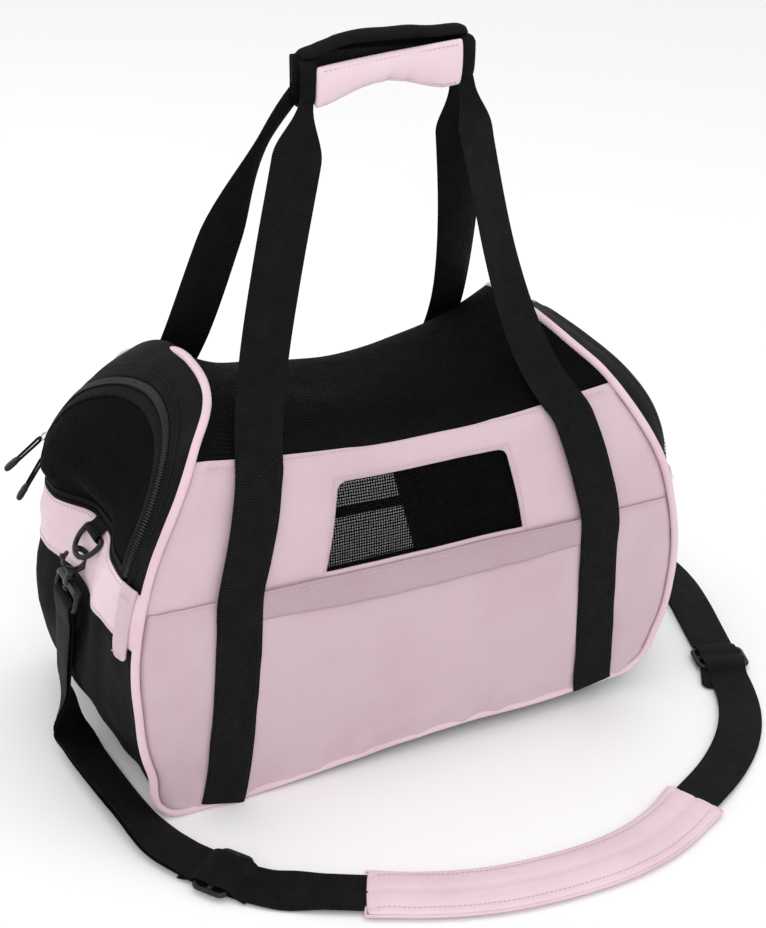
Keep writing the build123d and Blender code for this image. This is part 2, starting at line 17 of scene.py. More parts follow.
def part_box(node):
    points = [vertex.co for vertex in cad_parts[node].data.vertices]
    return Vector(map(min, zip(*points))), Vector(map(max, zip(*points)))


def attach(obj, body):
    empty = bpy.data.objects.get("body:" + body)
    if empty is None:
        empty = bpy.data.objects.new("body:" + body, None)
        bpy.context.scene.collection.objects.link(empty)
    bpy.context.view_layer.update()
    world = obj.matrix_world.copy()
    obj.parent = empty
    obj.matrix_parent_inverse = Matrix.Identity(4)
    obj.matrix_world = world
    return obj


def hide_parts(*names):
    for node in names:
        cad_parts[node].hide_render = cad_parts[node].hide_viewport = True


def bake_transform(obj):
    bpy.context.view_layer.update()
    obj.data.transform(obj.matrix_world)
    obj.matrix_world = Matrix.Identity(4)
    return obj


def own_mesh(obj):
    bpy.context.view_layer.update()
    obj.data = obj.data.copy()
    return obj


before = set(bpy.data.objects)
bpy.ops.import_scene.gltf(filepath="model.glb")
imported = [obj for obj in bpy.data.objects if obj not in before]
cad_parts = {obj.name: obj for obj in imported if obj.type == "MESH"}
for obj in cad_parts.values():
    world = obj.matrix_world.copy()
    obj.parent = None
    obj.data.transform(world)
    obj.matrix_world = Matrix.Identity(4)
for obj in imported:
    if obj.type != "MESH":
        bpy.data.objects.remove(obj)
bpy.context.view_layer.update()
scene = bpy.context.scene

# ---------------------------------------------------------------- sizes, from the frame or as in the design
BASE_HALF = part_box("base_panel")[1][0]
BELLY_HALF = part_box("front_panel")[1][0]
DEPTH_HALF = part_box("rear_panel")[1][1]
PANEL_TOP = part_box("front_panel")[1][2]
POCKET_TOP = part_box("pocket_panel")[1][2]
HEM_LOW, HEM_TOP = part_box("pocket_hem")[0][2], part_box("pocket_hem")[1][2]
HEM_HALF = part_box("pocket_hem")[1][0]
HEM_SPARE = 0.009  # how far the hem runs on under the straps
BAND_LOW, BAND_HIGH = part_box("left_end_band")[0][2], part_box("left_end_band")[1][2]
GRIP_LOW, GRIP_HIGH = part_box("grip_front_flap")[0][2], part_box("grip_back_pad")[1][2]
FOOT_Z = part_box("front_handle_webbing")[0][2]
BELLY_Z = 0.119
CROWN_HALF = 0.152
CROWN_Z = 0.338
SPRING_Z = 0.160
END_BELLY = 0.248
END_KNEE = 0.227
KNEE_Z = 0.205
END_CROWN = 0.150
CORNER_POWER = 2.5
LEAN_POWER = 1.63
ARCH_POWER = 2.8
HINGE_Z = 0.211
DOOR_RADIUS = 0.0935
DOOR_LEG = 0.025
WEB = 0.038
WEB_THICK = 0.0017
STRAP_LOW_X, STRAP_HEM_X, STRAP_TOP_X = 0.178, 0.162, 0.132
GRIP_X = 0.011
RING_Y = -0.008
CROWN_SAG = 0.045
SHADOW_BAR_Z, SHADOW_BAR_WIDE, SHADOW_BAR_HALF = 0.084, 0.012, 0.122  # a dark strip across the rear window: painted shadow of the end's pink band, cast inside the bag

LEAN = math.atan2(END_KNEE - END_CROWN, CROWN_Z - KNEE_Z)


# ---------------------------------------------------------------- materials
def shade(colour, factor):
    return tuple(c * factor for c in colour)


class Paint:
    """A Principled material with procedural colour, roughness and relief."""

    def __init__(self, name, colour, roughness, **sockets):
        self.material = bpy.data.materials.new(name)
        self.material.use_nodes = True
        self.nodes = self.material.node_tree.nodes
        self.links = self.material.node_tree.links
        self.shader = self.nodes["Principled BSDF"]
        self.shader.inputs["Base Color"].default_value = (*colour, 1)
        self.shader.inputs["Roughness"].default_value = roughness
        for socket, value in sockets.items():
            self.shader.inputs[socket.replace("_", " ")].default_value = value
        self.coordinates = self.nodes.new("ShaderNodeTexCoord")
        self.height = None

    def math(self, operation, *values):
        node = self.nodes.new("ShaderNodeMath")
        node.operation = operation
        for index, value in enumerate(values):
            if isinstance(value, (int, float)):
                node.inputs[index].default_value = value
            else:
                self.links.new(value, node.inputs[index])
        return node.outputs[0]

    def noise(self, scale, detail=2.0, roughness=0.5, stretch=(1, 1, 1)):
        mapping = self.nodes.new("ShaderNodeMapping")
        mapping.inputs["Scale"].default_value = stretch
        self.links.new(self.coordinates.outputs["Object"], mapping.inputs["Vector"])
        node = self.nodes.new("ShaderNodeTexNoise")
        node.inputs["Scale"].default_value = scale
        node.inputs["Detail"].default_value = detail
        node.inputs["Roughness"].default_value = roughness
        self.links.new(mapping.outputs[0], node.inputs["Vector"])
        return node.outputs["Fac"]

    def wave(self, axis, period, phase=0.0):
        """A ripple from 0 to 1 along one UV direction, whose period is in metres."""
        split = self.nodes.new("ShaderNodeSeparateXYZ")
        self.links.new(self.coordinates.outputs["UV"], split.inputs[0])
        turns = self.math("MULTIPLY_ADD", split.outputs[axis], 2 * math.pi / period, phase)
        return self.math("MULTIPLY_ADD", self.math("SINE", turns), 0.5, 0.5)

    def colours(self, factor, stops):
        """Base colour from a factor through a ramp of (position, colour) stops."""
        ramp = self.nodes.new("ShaderNodeValToRGB")
        elements = ramp.color_ramp.elements
        elements[0].position, elements[0].color = stops[0][0], (*stops[0][1], 1)
        elements[1].position, elements[1].color = stops[-1][0], (*stops[-1][1], 1)
        for position, colour in stops[1:-1]:
            elements.new(position).color = (*colour, 1)
        self.links.new(factor, ramp.inputs[0])
        self.links.new(ramp.outputs[0], self.shader.inputs["Base Color"])

    def rough(self, factor, low, high):
        value = self.math("MULTIPLY_ADD", factor, high - low, low)
        self.links.new(value, self.shader.inputs["Roughness"])

    def relief(self, factor, strength, depth):
        """Adds a bump whose full height is depth, in metres."""
        bump = self.nodes.new("ShaderNodeBump")
        bump.inputs["Strength"].default_value = strength
        bump.inputs["Distance"].default_value = depth
        self.links.new(factor, bump.inputs["Height"])
        if self.height is not None:
            self.links.new(self.height, bump.inputs["Normal"])
        self.height = bump.outputs[0]
        self.links.new(self.height, self.shader.inputs["Normal"])

    def open_mesh(self, across, along, threshold, veil):
        """Lets some light through the holes of a net with these two thread periods. veil is what fuzz blocks.

        Without a threshold the holes have soft edges, for a net that is only ever seen through another.
        """
        holes = self.math("MULTIPLY", self.wave(0, across), self.wave(1, along))
        if threshold is None:
            cover = self.math("MULTIPLY_ADD", holes, -0.5, veil)
        else:
            cover = self.math("MAXIMUM", self.math("LESS_THAN", holes, threshold), veil)
        self.links.new(cover, self.shader.inputs["Alpha"])
        return holes


def coated(name, light, deep):
    paint = Paint(name, light, 0.5, Sheen_Weight=0.12, Sheen_Roughness=0.5, Specular_IOR_Level=0.42)
    cloud = paint.noise(11, 4, 0.55)
    paint.colours(cloud, [(0.30, deep), (0.52, light), (0.75, shade(light, 1.03))])
    paint.rough(paint.noise(35, 3), 0.40, 0.62)
    weave = paint.math("MULTIPLY", paint.wave(0, 0.0009), paint.wave(1, 0.0009))
    paint.relief(weave, 0.25, 0.0002)
    paint.relief(paint.noise(420, 3), 0.18, 0.0003)
    paint.relief(paint.noise(48, 3, 0.6), 0.30, 0.0010)
    return paint.material


def webbing(name, colour=(0.0050, 0.0050, 0.0058)):
    """Ribbed webbing: picks across it and a herringbone shimmer."""
    paint = Paint(name, colour, 0.62, Sheen_Weight=0.01, Sheen_Roughness=0.35, Specular_IOR_Level=0.08)
    picks = paint.wave(1, 0.0021)
    ends = paint.math("MULTIPLY", paint.wave(0, 0.0024), paint.wave(1, 0.0042, 1.3))
    mixed = paint.math("MULTIPLY_ADD", paint.noise(70, 4), 0.6, paint.math("MULTIPLY", picks, 0.4))
    paint.colours(mixed, [(0.25, shade(colour, 0.55)), (0.8, shade(colour, 1.9))])
    paint.rough(paint.noise(90, 3), 0.50, 0.78)
    paint.relief(picks, 0.75, 0.0006)
    paint.relief(ends, 0.35, 0.0004)
    return paint.material


def netting(name, across, along, threshold, veil, colour=(0.0025, 0.0025, 0.0028)):
    paint = Paint(name, colour, 0.72, Specular_IOR_Level=0.03)
    paint.open_mesh(across, along, threshold, veil)
    ribs = paint.wave(1, along)
    cross = paint.wave(0, across)
    mixed = paint.math("MULTIPLY_ADD", paint.noise(60, 3), 0.7, paint.math("MULTIPLY", ribs, -0.25))
    paint.colours(mixed, [(0.15, shade(colour, 1.8)), (0.75, shade(colour, 0.5))])
    paint.rough(paint.noise(120, 2), 0.60, 0.85)
    paint.relief(paint.math("SUBTRACT", 1.0, ribs), 0.9, 0.0009)
    paint.relief(paint.math("SUBTRACT", 1.0, cross), 0.6, 0.0005)
    return paint.material


def cloth(name, colour, rough=0.78):
    """Plain woven nylon."""
    paint = Paint(name, colour, rough, Sheen_Weight=0.01, Sheen_Roughness=0.4, Specular_IOR_Level=0.08)
    weave = paint.math("MULTIPLY", paint.wave(0, 0.0012), paint.wave(1, 0.0012))
    deep = shade(colour, 0.6)
    paint.colours(paint.noise(32, 5, 0.6), [(0.3, deep), (0.72, shade(colour, 1.5))])
    paint.rough(paint.noise(60, 3), rough - 0.14, rough + 0.1)
    paint.relief(weave, 0.5, 0.0003)
    paint.relief(paint.noise(70, 4, 0.6), 0.35, 0.0014)
    return paint.material


def moulded(name, colour=(0.006, 0.006, 0.0066)):
    paint = Paint(name, colour, 0.34, Specular_IOR_Level=0.34)
    paint.colours(paint.noise(130, 4), [(0.3, shade(colour, 0.8)), (0.8, shade(colour, 1.5))])
    paint.rough(paint.noise(210, 4, 0.6), 0.24, 0.46)
    paint.relief(paint.noise(900, 2), 0.12, 0.0002)
    return paint.material


def metal(name, colour=(0.62, 0.61, 0.60)):
    paint = Paint(name, colour, 0.25, Metallic=1.0)
    paint.colours(paint.noise(260, 4), [(0.3, shade(colour, 0.75)), (0.7, colour)])
    paint.rough(paint.noise(300, 3, 0.6), 0.14, 0.40)
    paint.relief(paint.noise(700, 2), 0.1, 0.0001)
    return paint.material


def thread(name, colour):
    paint = Paint(name, colour, 0.6, Sheen_Weight=0.05, Specular_IOR_Level=0.25)
    paint.colours(paint.noise(900, 2), [(0.3, shade(colour, 0.8)), (0.7, colour)])
    paint.relief(paint.wave(1, 0.0006), 0.6, 0.0002)
    return paint.material


PINK = coated("pink_coated", (0.632, 0.476, 0.515), (0.590, 0.424, 0.468))
# The same pink, a little darker and greyer, for the pocket: painted shade of a wall that faces slightly
# downwards.
PINK_POCKET_SHADE = coated("pink_coated_pocket_shade", (0.600, 0.450, 0.492), (0.560, 0.400, 0.450))
# A darker, more mauve copy of the pink for the pocket's hem: painted shade of the hem's shadow side above the
# pocket's mouth.
PINK_HEM_SHADE = coated("pink_coated_hem_shade", (0.470, 0.340, 0.392), (0.435, 0.305, 0.362))
PINK_SOFT = coated("pink_padded", (0.790, 0.610, 0.660), (0.740, 0.545, 0.600))
PINK_PIPE = coated("pink_piping", (0.770, 0.570, 0.625), (0.700, 0.490, 0.550))
WEBBING = webbing("black_webbing")
WINDOW_NET = netting("window_net", 0.0021, 0.0024, 0.34, 0.42)
TOP_NET = netting("top_net", 0.0026, 0.0032, 0.72, 0.985)
REAR_NET = netting("rear_window_net", 0.0017, 0.0019, None, 0.74)
DOOR_NET = netting("door_net", 0.0030, 0.0034, 0.80, 0.99)
BLACK = cloth("black_nylon", (0.0050, 0.0050, 0.0056))
LINING = cloth("black_lining", (0.006, 0.006, 0.0066), 0.85)
TAPE = cloth("zip_tape", (0.0052, 0.0052, 0.0058), 0.7)
FLEECE = cloth("charcoal_fleece", (0.05, 0.05, 0.054), 0.9)
BOARD = moulded("stiffener_board", (0.06, 0.06, 0.06))
PLASTIC = moulded("black_plastic")
TEETH = moulded("zip_coil_plastic", (0.0065, 0.0065, 0.0072))
METAL = metal("zip_metal")
PINK_THREAD = thread("pink_thread", (0.66, 0.49, 0.54))
BLACK_THREAD = thread("black_thread", (0.0062, 0.0062, 0.0068))


# ---------------------------------------------------------------- mesh building
UP = Vector((0, 0, 1))
REARWARD = Vector((0, 1, 0))


def smooth(value, low, high):
    """0 below low, 1 above high, and an even turn between."""
    share = min(max((value - low) / (high - low), 0.0), 1.0)
    return share * share * (3 - 2 * share)


def mix(a, b, share):
    return a + (b - a) * share


def spaced(low, high, steps):
    """Even values from low to high, with both ends."""
    return [mix(low, high, k / steps) for k in range(steps + 1)]


def full_turn(count):
    """Even angles all the way round."""
    return [2 * math.pi * k / count for k in range(count)]


def bulge(value, power):
    """A power that keeps its sign, for superelliptic outlines."""
    return math.copysign(abs(value) ** power, value)


def hump(distance, width):
    """1 at no distance, fading evenly to both sides."""
    return math.exp(-((distance / width) ** 2))


def assign(obj, body, slot, *nodes):
    """Says which body a piece rides on and the CAD nodes that it replaces; slot is not used."""
    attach(obj, body)
    if nodes:
        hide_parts(*nodes)


def new_piece(name, vertices, faces, material, uvs=None, sharp=40):
    mesh = bpy.data.meshes.new(name)
    mesh.from_pydata([tuple(v) for v in vertices], [], faces)
    if uvs is not None:
        layer = mesh.uv_layers.new(name="UVMap")
        layer.data.foreach_set("uv", np.array(uvs, dtype=np.float32).ravel())
    for one in material if isinstance(material, (list, tuple)) else [material]:
        mesh.materials.append(one)
    mesh.polygons.foreach_set("use_smooth", [True] * len(mesh.polygons))
    mesh.set_sharp_from_angle(angle=math.radians(sharp))
    obj = bpy.data.objects.new(name, mesh)
    scene.collection.objects.link(obj)
    return obj


def lofted(name, rows, material, loop=True, capped=True, joined=False, skip=None, facing=None, sharp=40):
    """A quad mesh through rows of points. loop closes each row; joined closes the rows on themselves."""
    grid = np.array([[tuple(p) for p in row] for row in rows])
    count, width, _ = grid.shape
    step_u = np.linalg.norm(np.roll(grid, -1, axis=1) - grid, axis=2)
    step_v = np.linalg.norm(np.roll(grid, -1, axis=0) - grid, axis=2).mean(axis=1)
    u = np.concatenate([np.zeros((count, 1)), np.cumsum(step_u, axis=1)], axis=1)
    if not loop:
        u -= u[:, width - 1 : width] / 2
    v = np.concatenate([[0.0], np.cumsum(step_v)])
    faces, uvs = [], []
    for i in range(count if joined else count - 1):
        below = (i + 1) % count
        for j in range(width if loop else width - 1):
            if skip is not None and skip(i, j):
                continue
            right = (j + 1) % width
            faces.append((i * width + j, i * width + right, below * width + right, below * width + j))
            start, end = v[i], v[i + 1]
            uvs += [(u[i][j], start), (u[i][j + 1], start), (u[below][j + 1], end), (u[below][j], end)]
    if loop and capped and not joined:
        for start in (0, (count - 1) * width):
            ring = list(range(start, start + width))
            faces.append(tuple(reversed(ring)) if start == 0 else tuple(ring))
            uvs += [(0.0, 0.0)] * width
    obj = new_piece(name, grid.reshape(-1, 3), faces, material, uvs, sharp)
    orient(obj, facing)
    return obj


def sheet(name, rows, material, facing, sharp=60, skip=None):
    """An open quad mesh through rows of points, seen from the side that facing points to."""
    return lofted(name, rows, material, loop=False, skip=skip, facing=facing, sharp=sharp)


def orient(obj, facing):
    """Turns an open sheet's normals to the given side, and a closed form's outwards."""
    mesh = obj.data
    work = bmesh.new()
    work.from_mesh(mesh)
    if facing is None:
        bmesh.ops.recalc_face_normals(work, faces=work.faces)
    else:
        work.normal_update()
        total = sum(f.normal.dot(facing) * f.calc_area() for f in work.faces)
        if total < 0:
            bmesh.ops.reverse_faces(work, faces=work.faces)
    work.to_mesh(mesh)
    work.free()


def apply(obj):
    """Bakes the object's modifiers into its mesh."""
    bpy.context.view_layer.update()
    depsgraph = bpy.context.evaluated_depsgraph_get()
    mesh = bpy.data.meshes.new_from_object(obj.evaluated_get(depsgraph))
    obj.modifiers.clear()
    obj.data = mesh
    return obj


def thicken(obj, thickness, inner_slot=0):
    """Gives a sheet its thickness, inwards from the face that shows, or outwards where it is negative."""
    solid = obj.modifiers.new("thickness", "SOLIDIFY")
    solid.thickness = thickness
    solid.offset = -1
    solid.use_even_offset = True
    solid.material_offset = inner_slot
    return apply(obj)


def rounded(obj, levels=1):
    surface = obj.modifiers.new("surface", "SUBSURF")
    surface.levels = surface.render_levels = levels
    return apply(obj)


def resample(points, spacing):
    """Evenly spaced points along a finely divided line."""
    line = np.array([tuple(p) for p in points])
    along = np.concatenate([[0.0], np.cumsum(np.linalg.norm(np.diff(line, axis=0), axis=1))])
    count = max(2, int(round(along[-1] / spacing)) + 1)
    at = np.linspace(0, along[-1], count)
    return [Vector([np.interp(a, along, line[:, k]) for k in range(3)]) for a in at]


def relaxed(line, times):
    """Evens out a line's bends, with its ends held."""
    for _ in range(times):
        line = [line[0], *[(a + b * 2 + c) / 4 for a, b, c in zip(line, line[1:], line[2:])], line[-1]]
    return line


def tangents(points, closed=False):
    found = []
    for i in range(len(points)):
        before = points[i - 1] if (i or closed) else points[0]
        after = points[(i + 1) % len(points)] if (i + 1 < len(points) or closed) else points[-1]
        found.append((after - before).normalized())
    return found


def carried(points, start, closed=False):
    """Normals carried along a line without twist, from a first one."""
    normals = []
    normal = Vector(start)
    for tangent in tangents(points, closed):
        normal = (normal - tangent * normal.dot(tangent)).normalized()
        normals.append(normal.copy())
    return normals


def tube(name, points, radius, material, sides=12, closed=False, start=(0, 0, 1), flat=1.0):
    """A round bead along a line. radius is a number or one for each point; flat presses it."""
    normals = carried(points, start, closed)
    rows = []
    for index, (point, tangent, normal) in enumerate(zip(points, tangents(points, closed), normals)):
        reach = radius if isinstance(radius, float) else radius[index]
        across = tangent.cross(normal)
        thin = reach * flat
        turns = full_turn(sides)
        rows.append([point + across * (reach * math.cos(t)) + normal * (thin * math.sin(t)) for t in turns])
    return lofted(name, rows, material, joined=closed)


def band_rows(points, acrosses, width, thick, columns=8, crown=0.0):
    """Cross-sections of a flat band. width is a number or one for each point."""
    rows = []
    for index, (point, tangent, across) in enumerate(zip(points, tangents(points), acrosses)):
        reach = (width if isinstance(width, float) else width[index]) / 2
        across = (across - tangent * across.dot(tangent)).normalized()
        normal = across.cross(tangent)
        shares = spaced(-1, 1, columns)
        edge = [0.35 if abs(s) > 0.999 else 1.0 for s in shares]
        sides = []
        for sign in (1, -1):
            lifts = [sign * thick / 2 * e + crown * (1 - s * s) for s, e in zip(shares, edge)]
            sides.append([point + across * (reach * s) + normal * lift for s, lift in zip(shares, lifts)])
        rows.append(sides[0] + sides[1][::-1])
    return rows


def band(name, points, acrosses, width, thick, material, crown=0.0):
    return lofted(name, band_rows(points, acrosses, width, thick, crown=crown), material, sharp=50)


class Thread:
    """Stitches of one colour that ride on one body, gathered into one piece."""

    SIDES = 6
    LONG = 0.0028
    PITCH = 0.0039
    THICK = 0.00032

    def __init__(self):
        self.vertices, self.faces = [], []

    def sew(self, points, normals, pitch=PITCH, long=LONG, thick=THICK):
        line = resample(points, pitch)
        source = np.array([tuple(p) for p in points])
        for index, centre in enumerate(line[:-1]):
            middle = (centre + line[index + 1]) / 2
            tangent = (line[index + 1] - centre).normalized()
            nearest = int(np.argmin(np.linalg.norm(source - np.array(middle), axis=1)))
            normal = Vector(normals[nearest] if isinstance(normals, list) else normals)
            normal = (normal - tangent * normal.dot(tangent)).normalized()
            self.add(middle, tangent, normal, long, thick, hump=1.3)

    def add(self, middle, tangent, normal, long, thick, hump=0.0):
        """One capsule along tangent. hump sinks its ends into the cloth."""
        across = tangent.cross(normal)
        base = len(self.vertices)
        for share, girth in ((-1, 0.25), (-0.75, 0.9), (0, 1.15), (0.75, 0.9), (1, 0.25)):
            rise = normal * (thick * (0.75 - hump * share**4))
            for k in range(self.SIDES):
                turn = 2 * math.pi * k / self.SIDES
                ring = across * (thick * girth * math.cos(turn)) + normal * (thick * girth * math.sin(turn))
                self.vertices.append(middle + tangent * (share * long / 2) + rise + ring)
        for row in range(4):
            for k in range(self.SIDES):
                a = base + row * self.SIDES + k
                b = base + row * self.SIDES + (k + 1) % self.SIDES
                self.faces.append((a, b, b + self.SIDES, a + self.SIDES))
        self.faces.append(tuple(base + k for k in reversed(range(self.SIDES))))
        self.faces.append(tuple(base + 4 * self.SIDES + k for k in range(self.SIDES)))

    def mesh(self, name, material):
        obj = new_piece(name, self.vertices, self.faces, material)
        orient(obj, None)
        return obj

    def piece(self, name, material, body):
        obj = self.mesh(name, material)
        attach(obj, body)
        return obj


def joined(name, objs):
    """Joins finished pieces into one object."""
    work = bmesh.new()
    materials = []
    for obj in objs:
        offset = []
        for one in obj.data.materials:
            if one not in materials:
                materials.append(one)
            offset.append(materials.index(one))
        obj.data.polygons.foreach_set("material_index", [offset[p.material_index] for p in obj.data.polygons])
        work.from_mesh(obj.data)
        bpy.data.objects.remove(obj)
    mesh = bpy.data.meshes.new(name)
    work.to_mesh(mesh)
    work.free()
    for one in materials:
        mesh.materials.append(one)
    obj = bpy.data.objects.new(name, mesh)
    scene.collection.objects.link(obj)
    return obj


# ---------------------------------------------------------------- camera, light and floor
CAMERA_AT = Vector((-0.5742, -1.1220, 0.8888))
CAMERA_AIM = Vector((0.0256, 0.0, 0.2075))
CAMERA_ROLL = math.radians(2.64)
CAMERA_LENS = 65.0


def studio():
    camera = bpy.data.objects.new("camera", bpy.data.cameras.new("camera"))
    scene.collection.objects.link(camera)
    camera.location = CAMERA_AT
    look = (CAMERA_AIM - CAMERA_AT).to_track_quat("-Z", "Y")
    camera.rotation_mode = "QUATERNION"
    camera.rotation_quaternion = look @ Quaternion((0, 0, 1), CAMERA_ROLL)
    camera.data.lens = CAMERA_LENS
    scene.camera = camera

    world = bpy.data.worlds.new("studio")
    world.use_nodes = True
    world.node_tree.nodes["Background"].inputs[0].default_value = (1.0, 1.0, 1.0, 1)
    world.node_tree.nodes["Background"].inputs[1].default_value = 0.90
    scene.world = world
    scene.view_settings.view_transform = "Standard"

    lamps = (
        ("key", (-0.9, -2.0, 2.0), 1.2, 13),
        ("fill", (1.9, -1.2, 1.1), 1.4, 1.5),
        ("top", (0.2, 0.3, 2.3), 1.4, 6),
        ("rim", (-1.2, 1.6, 1.3), 1.0, 4),
    )
    for name, place, size, power in lamps:
        light = bpy.data.lights.new(name, "AREA")
        light.size = size
        light.energy = power
        lamp = bpy.data.objects.new(name, light)
        scene.collection.objects.link(lamp)
        lamp.location = place
        lamp.rotation_euler = (Vector((0, 0, 0.2)) - Vector(place)).to_track_quat("-Z", "Y").to_euler()

    floor_paint = Paint("floor", (0.97, 0.97, 0.97), 0.7, Specular_IOR_Level=0.1)
    floor_paint.rough(floor_paint.noise(6, 2), 0.65, 0.78)
    reach = 4.0
    corners = [(-reach, -reach, 0), (reach, -reach, 0), (reach, reach, 0), (-reach, reach, 0)]
    floor = new_piece("floor", corners, [(0, 1, 2, 3)], floor_paint.material)
    floor.location.z = -0.0004


studio()


# ---------------------------------------------------------------- shoulder strap
def line_of(points):
    """The smooth line of a route: a NURBS spline with the route's points as its control points."""
    curve = bpy.data.curves.new("route", "CURVE")
    curve.dimensions = "3D"
    curve.resolution_u = 16
    spline = curve.splines.new("NURBS")
    spline.points.add(len(points) - 1)
    for point, place in zip(spline.points, points):
        point.co = (*place, 1)
    spline.order_u = 3
    spline.use_endpoint_u = True
    obj = bpy.data.objects.new("route", curve)
    scene.collection.objects.link(obj)
    bpy.context.view_layer.update()
    mesh = bpy.data.meshes.new_from_object(obj)
    found = [v.co.copy() for v in mesh.vertices]
    bpy.data.objects.remove(obj)
    bpy.data.meshes.remove(mesh)
    return found


def turned(points, keys):
    """Directions across a strap, turned evenly between (share of its length, direction) keys."""
    found = []
    last = len(points) - 1
    for index in range(len(points)):
        share = index / last
        for (low, first), (high, second) in zip(keys, keys[1:]):
            if share <= high:
                break
        part = smooth(share, low, high)
        found.append(Vector(first).normalized().slerp(Vector(second).normalized(), part))
    return found


LEFT_ROUTE = [
    (-0.2625, -0.008, 0.1470),
    (-0.2640, -0.008, 0.1220),
    (-0.2665, -0.005, 0.0850),
    (-0.2670, 0.000, 0.0500),
    (-0.2645, 0.004, 0.0200),
    (-0.2605, -0.010, 0.0100),
    (-0.2575, -0.040, 0.0095),
    (-0.2530, -0.082, 0.0100),
    (-0.2460, -0.129, 0.0075),
    (-0.2350, -0.173, 0.0040),
    (-0.2080, -0.209, 0.0030),
]
MAIN_ROUTE = [
    (-0.2080, -0.209, 0.0030),
    (-0.1870, -0.237, 0.0036),
    (-0.1500, -0.257, 0.0050),
    (-0.1180, -0.273, 0.0040),
    (-0.0740, -0.295, 0.0050),
    (-0.0250, -0.311, 0.0050),
    (0.0280, -0.318, 0.0050),
    (0.0810, -0.319, 0.0050),
    (0.1320, -0.309, 0.0050),
    (0.1800, -0.285, 0.0045),
    (0.2220, -0.264, 0.0030),
    (0.2610, -0.236, 0.0034),
    (0.2910, -0.202, 0.0034),
    (0.3100, -0.164, 0.0032),
    (0.3220, -0.128, 0.0030),
]
RIGHT_ROUTE = [
    (0.2625, -0.008, 0.1470),
    (0.2640, -0.008, 0.1220),
    (0.2660, -0.010, 0.0850),
    (0.2665, -0.014, 0.0500),
    (0.2640, -0.020, 0.0180),
    (0.2620, 0.002, 0.0045),
    (0.2580, 0.046, 0.0040),
    (0.2840, 0.088, 0.0040),
    (0.3340, 0.092, 0.0040),
    (0.3680, 0.054, 0.0036),
    (0.3660, 0.004, 0.0034),
    (0.3520, -0.042, 0.0032),
    (0.3360, -0.086, 0.0030),
    (0.3220, -0.128, 0.0030),
]
LAYER_GAP = 0.0030
STRAP_STEP = 0.004
FLOOR_GAP = 0.0003


def strap(name, route, keys, layers, width=WEB):
    """A strap of one or two layers of webbing along a route."""
    points = resample(line_of(route), STRAP_STEP)
    across = turned(points, keys)
    parts = []
    for layer in range(layers):
        shifted = []
        for index, (point, tangent, side) in enumerate(zip(points, tangents(points), across)):
            side = (side - tangent * side.dot(tangent)).normalized()
            normal = side.cross(tangent)
            share = index / (len(points) - 1)
            spread = LAYER_GAP * (0.55 + 0.45 * math.sin(9 * share + 2 * layer))
            spread *= math.sin(math.pi * min(max(share, 0.02), 0.98)) ** 0.35
            lift = (layer - (layers - 1) / 2) * spread * 2
            wave = 0.0006 * noise.noise(Vector((share * 9, layer * 3.1, len(name))))
            shifted.append(point + normal * (lift + wave))
        parts.append(band(name + "_layer", shifted, across, width, WEB_THICK, WEBBING))
    piece = joined(name, parts) if layers > 1 else parts[0]
    piece.name = name
    for vertex in piece.data.vertices:
        vertex.co.z = max(vertex.co.z, FLOOR_GAP)
    return piece, points


TILT = (0.885, 0.09, -0.44)
left_keys = [
    (0.0, (0, 1, 0)),
    (0.22, (0.10, 1, 0)),
    (0.36, (0.75, 0.65, 0.0)),
    (0.46, (0.92, 0.12, -0.36)),
    (0.70, TILT),
    (0.88, (0.93, 0.38, -0.12)),
    (1.0, (0.81, 0.60, 0)),
]
strap_left, left_line = strap("strap_left", LEFT_ROUTE, left_keys, 2)
main_keys = [
    (0.0, (0.80, 0.60, 0.0)),
    (0.05, (0.68, 0.74, 0.05)),
    (0.085, (0.45, 0.88, 0.14)),
    (0.13, (0.43, 0.90, 0.02)),
    (0.45, (0.0, 1.0, 0.0)),
    (0.70, (-0.46, 0.88, 0.0)),
    (0.90, (-0.90, 0.42, 0.06)),
    (1.0, (-0.95, 0.31, 0.0)),
]
strap_main, main_line = strap("strap_main", MAIN_ROUTE, main_keys, 1)
right_keys = [
    (0.0, (0, 1, 0)),
    (0.15, (0.1, 1, 0)),
    (0.24, (-0.8, 0.6, 0.0)),
    (0.30, (-1, 0.02, 0.05)),
    (0.42, (-0.85, 0.5, 0)),
    (0.50, (-0.35, 0.92, 0)),
    (0.56, (0.25, 0.95, 0)),
    (0.63, (0.75, 0.6, 0)),
    (0.72, (1.0, 0.0, 0)),
    (0.85, (0.96, -0.30, 0.05)),
    (1.0, (0.95, -0.32, 0)),
]
strap_right, right_line = strap("strap_right", RIGHT_ROUTE, right_keys, 2)

# ---------------------------------------------------------------- shape of the sewn bag
def corner_share(z):
    """How far the rounded lower corner has reached outwards at height z, from 0 to 1."""
    return (1 - (1 - z / BELLY_Z) ** CORNER_POWER) ** (1 / CORNER_POWER)


def half_length(z):
    """Half length of the bag's side outline at height z."""
    z = min(max(z, 0.0), CROWN_Z)
    if z < BELLY_Z:
        return mix(BASE_HALF, BELLY_HALF, corner_share(z))
    rise = (z - BELLY_Z) / (CROWN_Z - BELLY_Z)
    return BELLY_HALF - (BELLY_HALF - CROWN_HALF) * rise**LEAN_POWER


def half_depth(z):
    """Half depth of the bag's arched cross-section at height z."""
    rise = min(max(z - SPRING_Z, 0.0) / (CROWN_Z - SPRING_Z), 1.0)
    return DEPTH_HALF * (1 - rise**ARCH_POWER) ** (1 / ARCH_POWER)


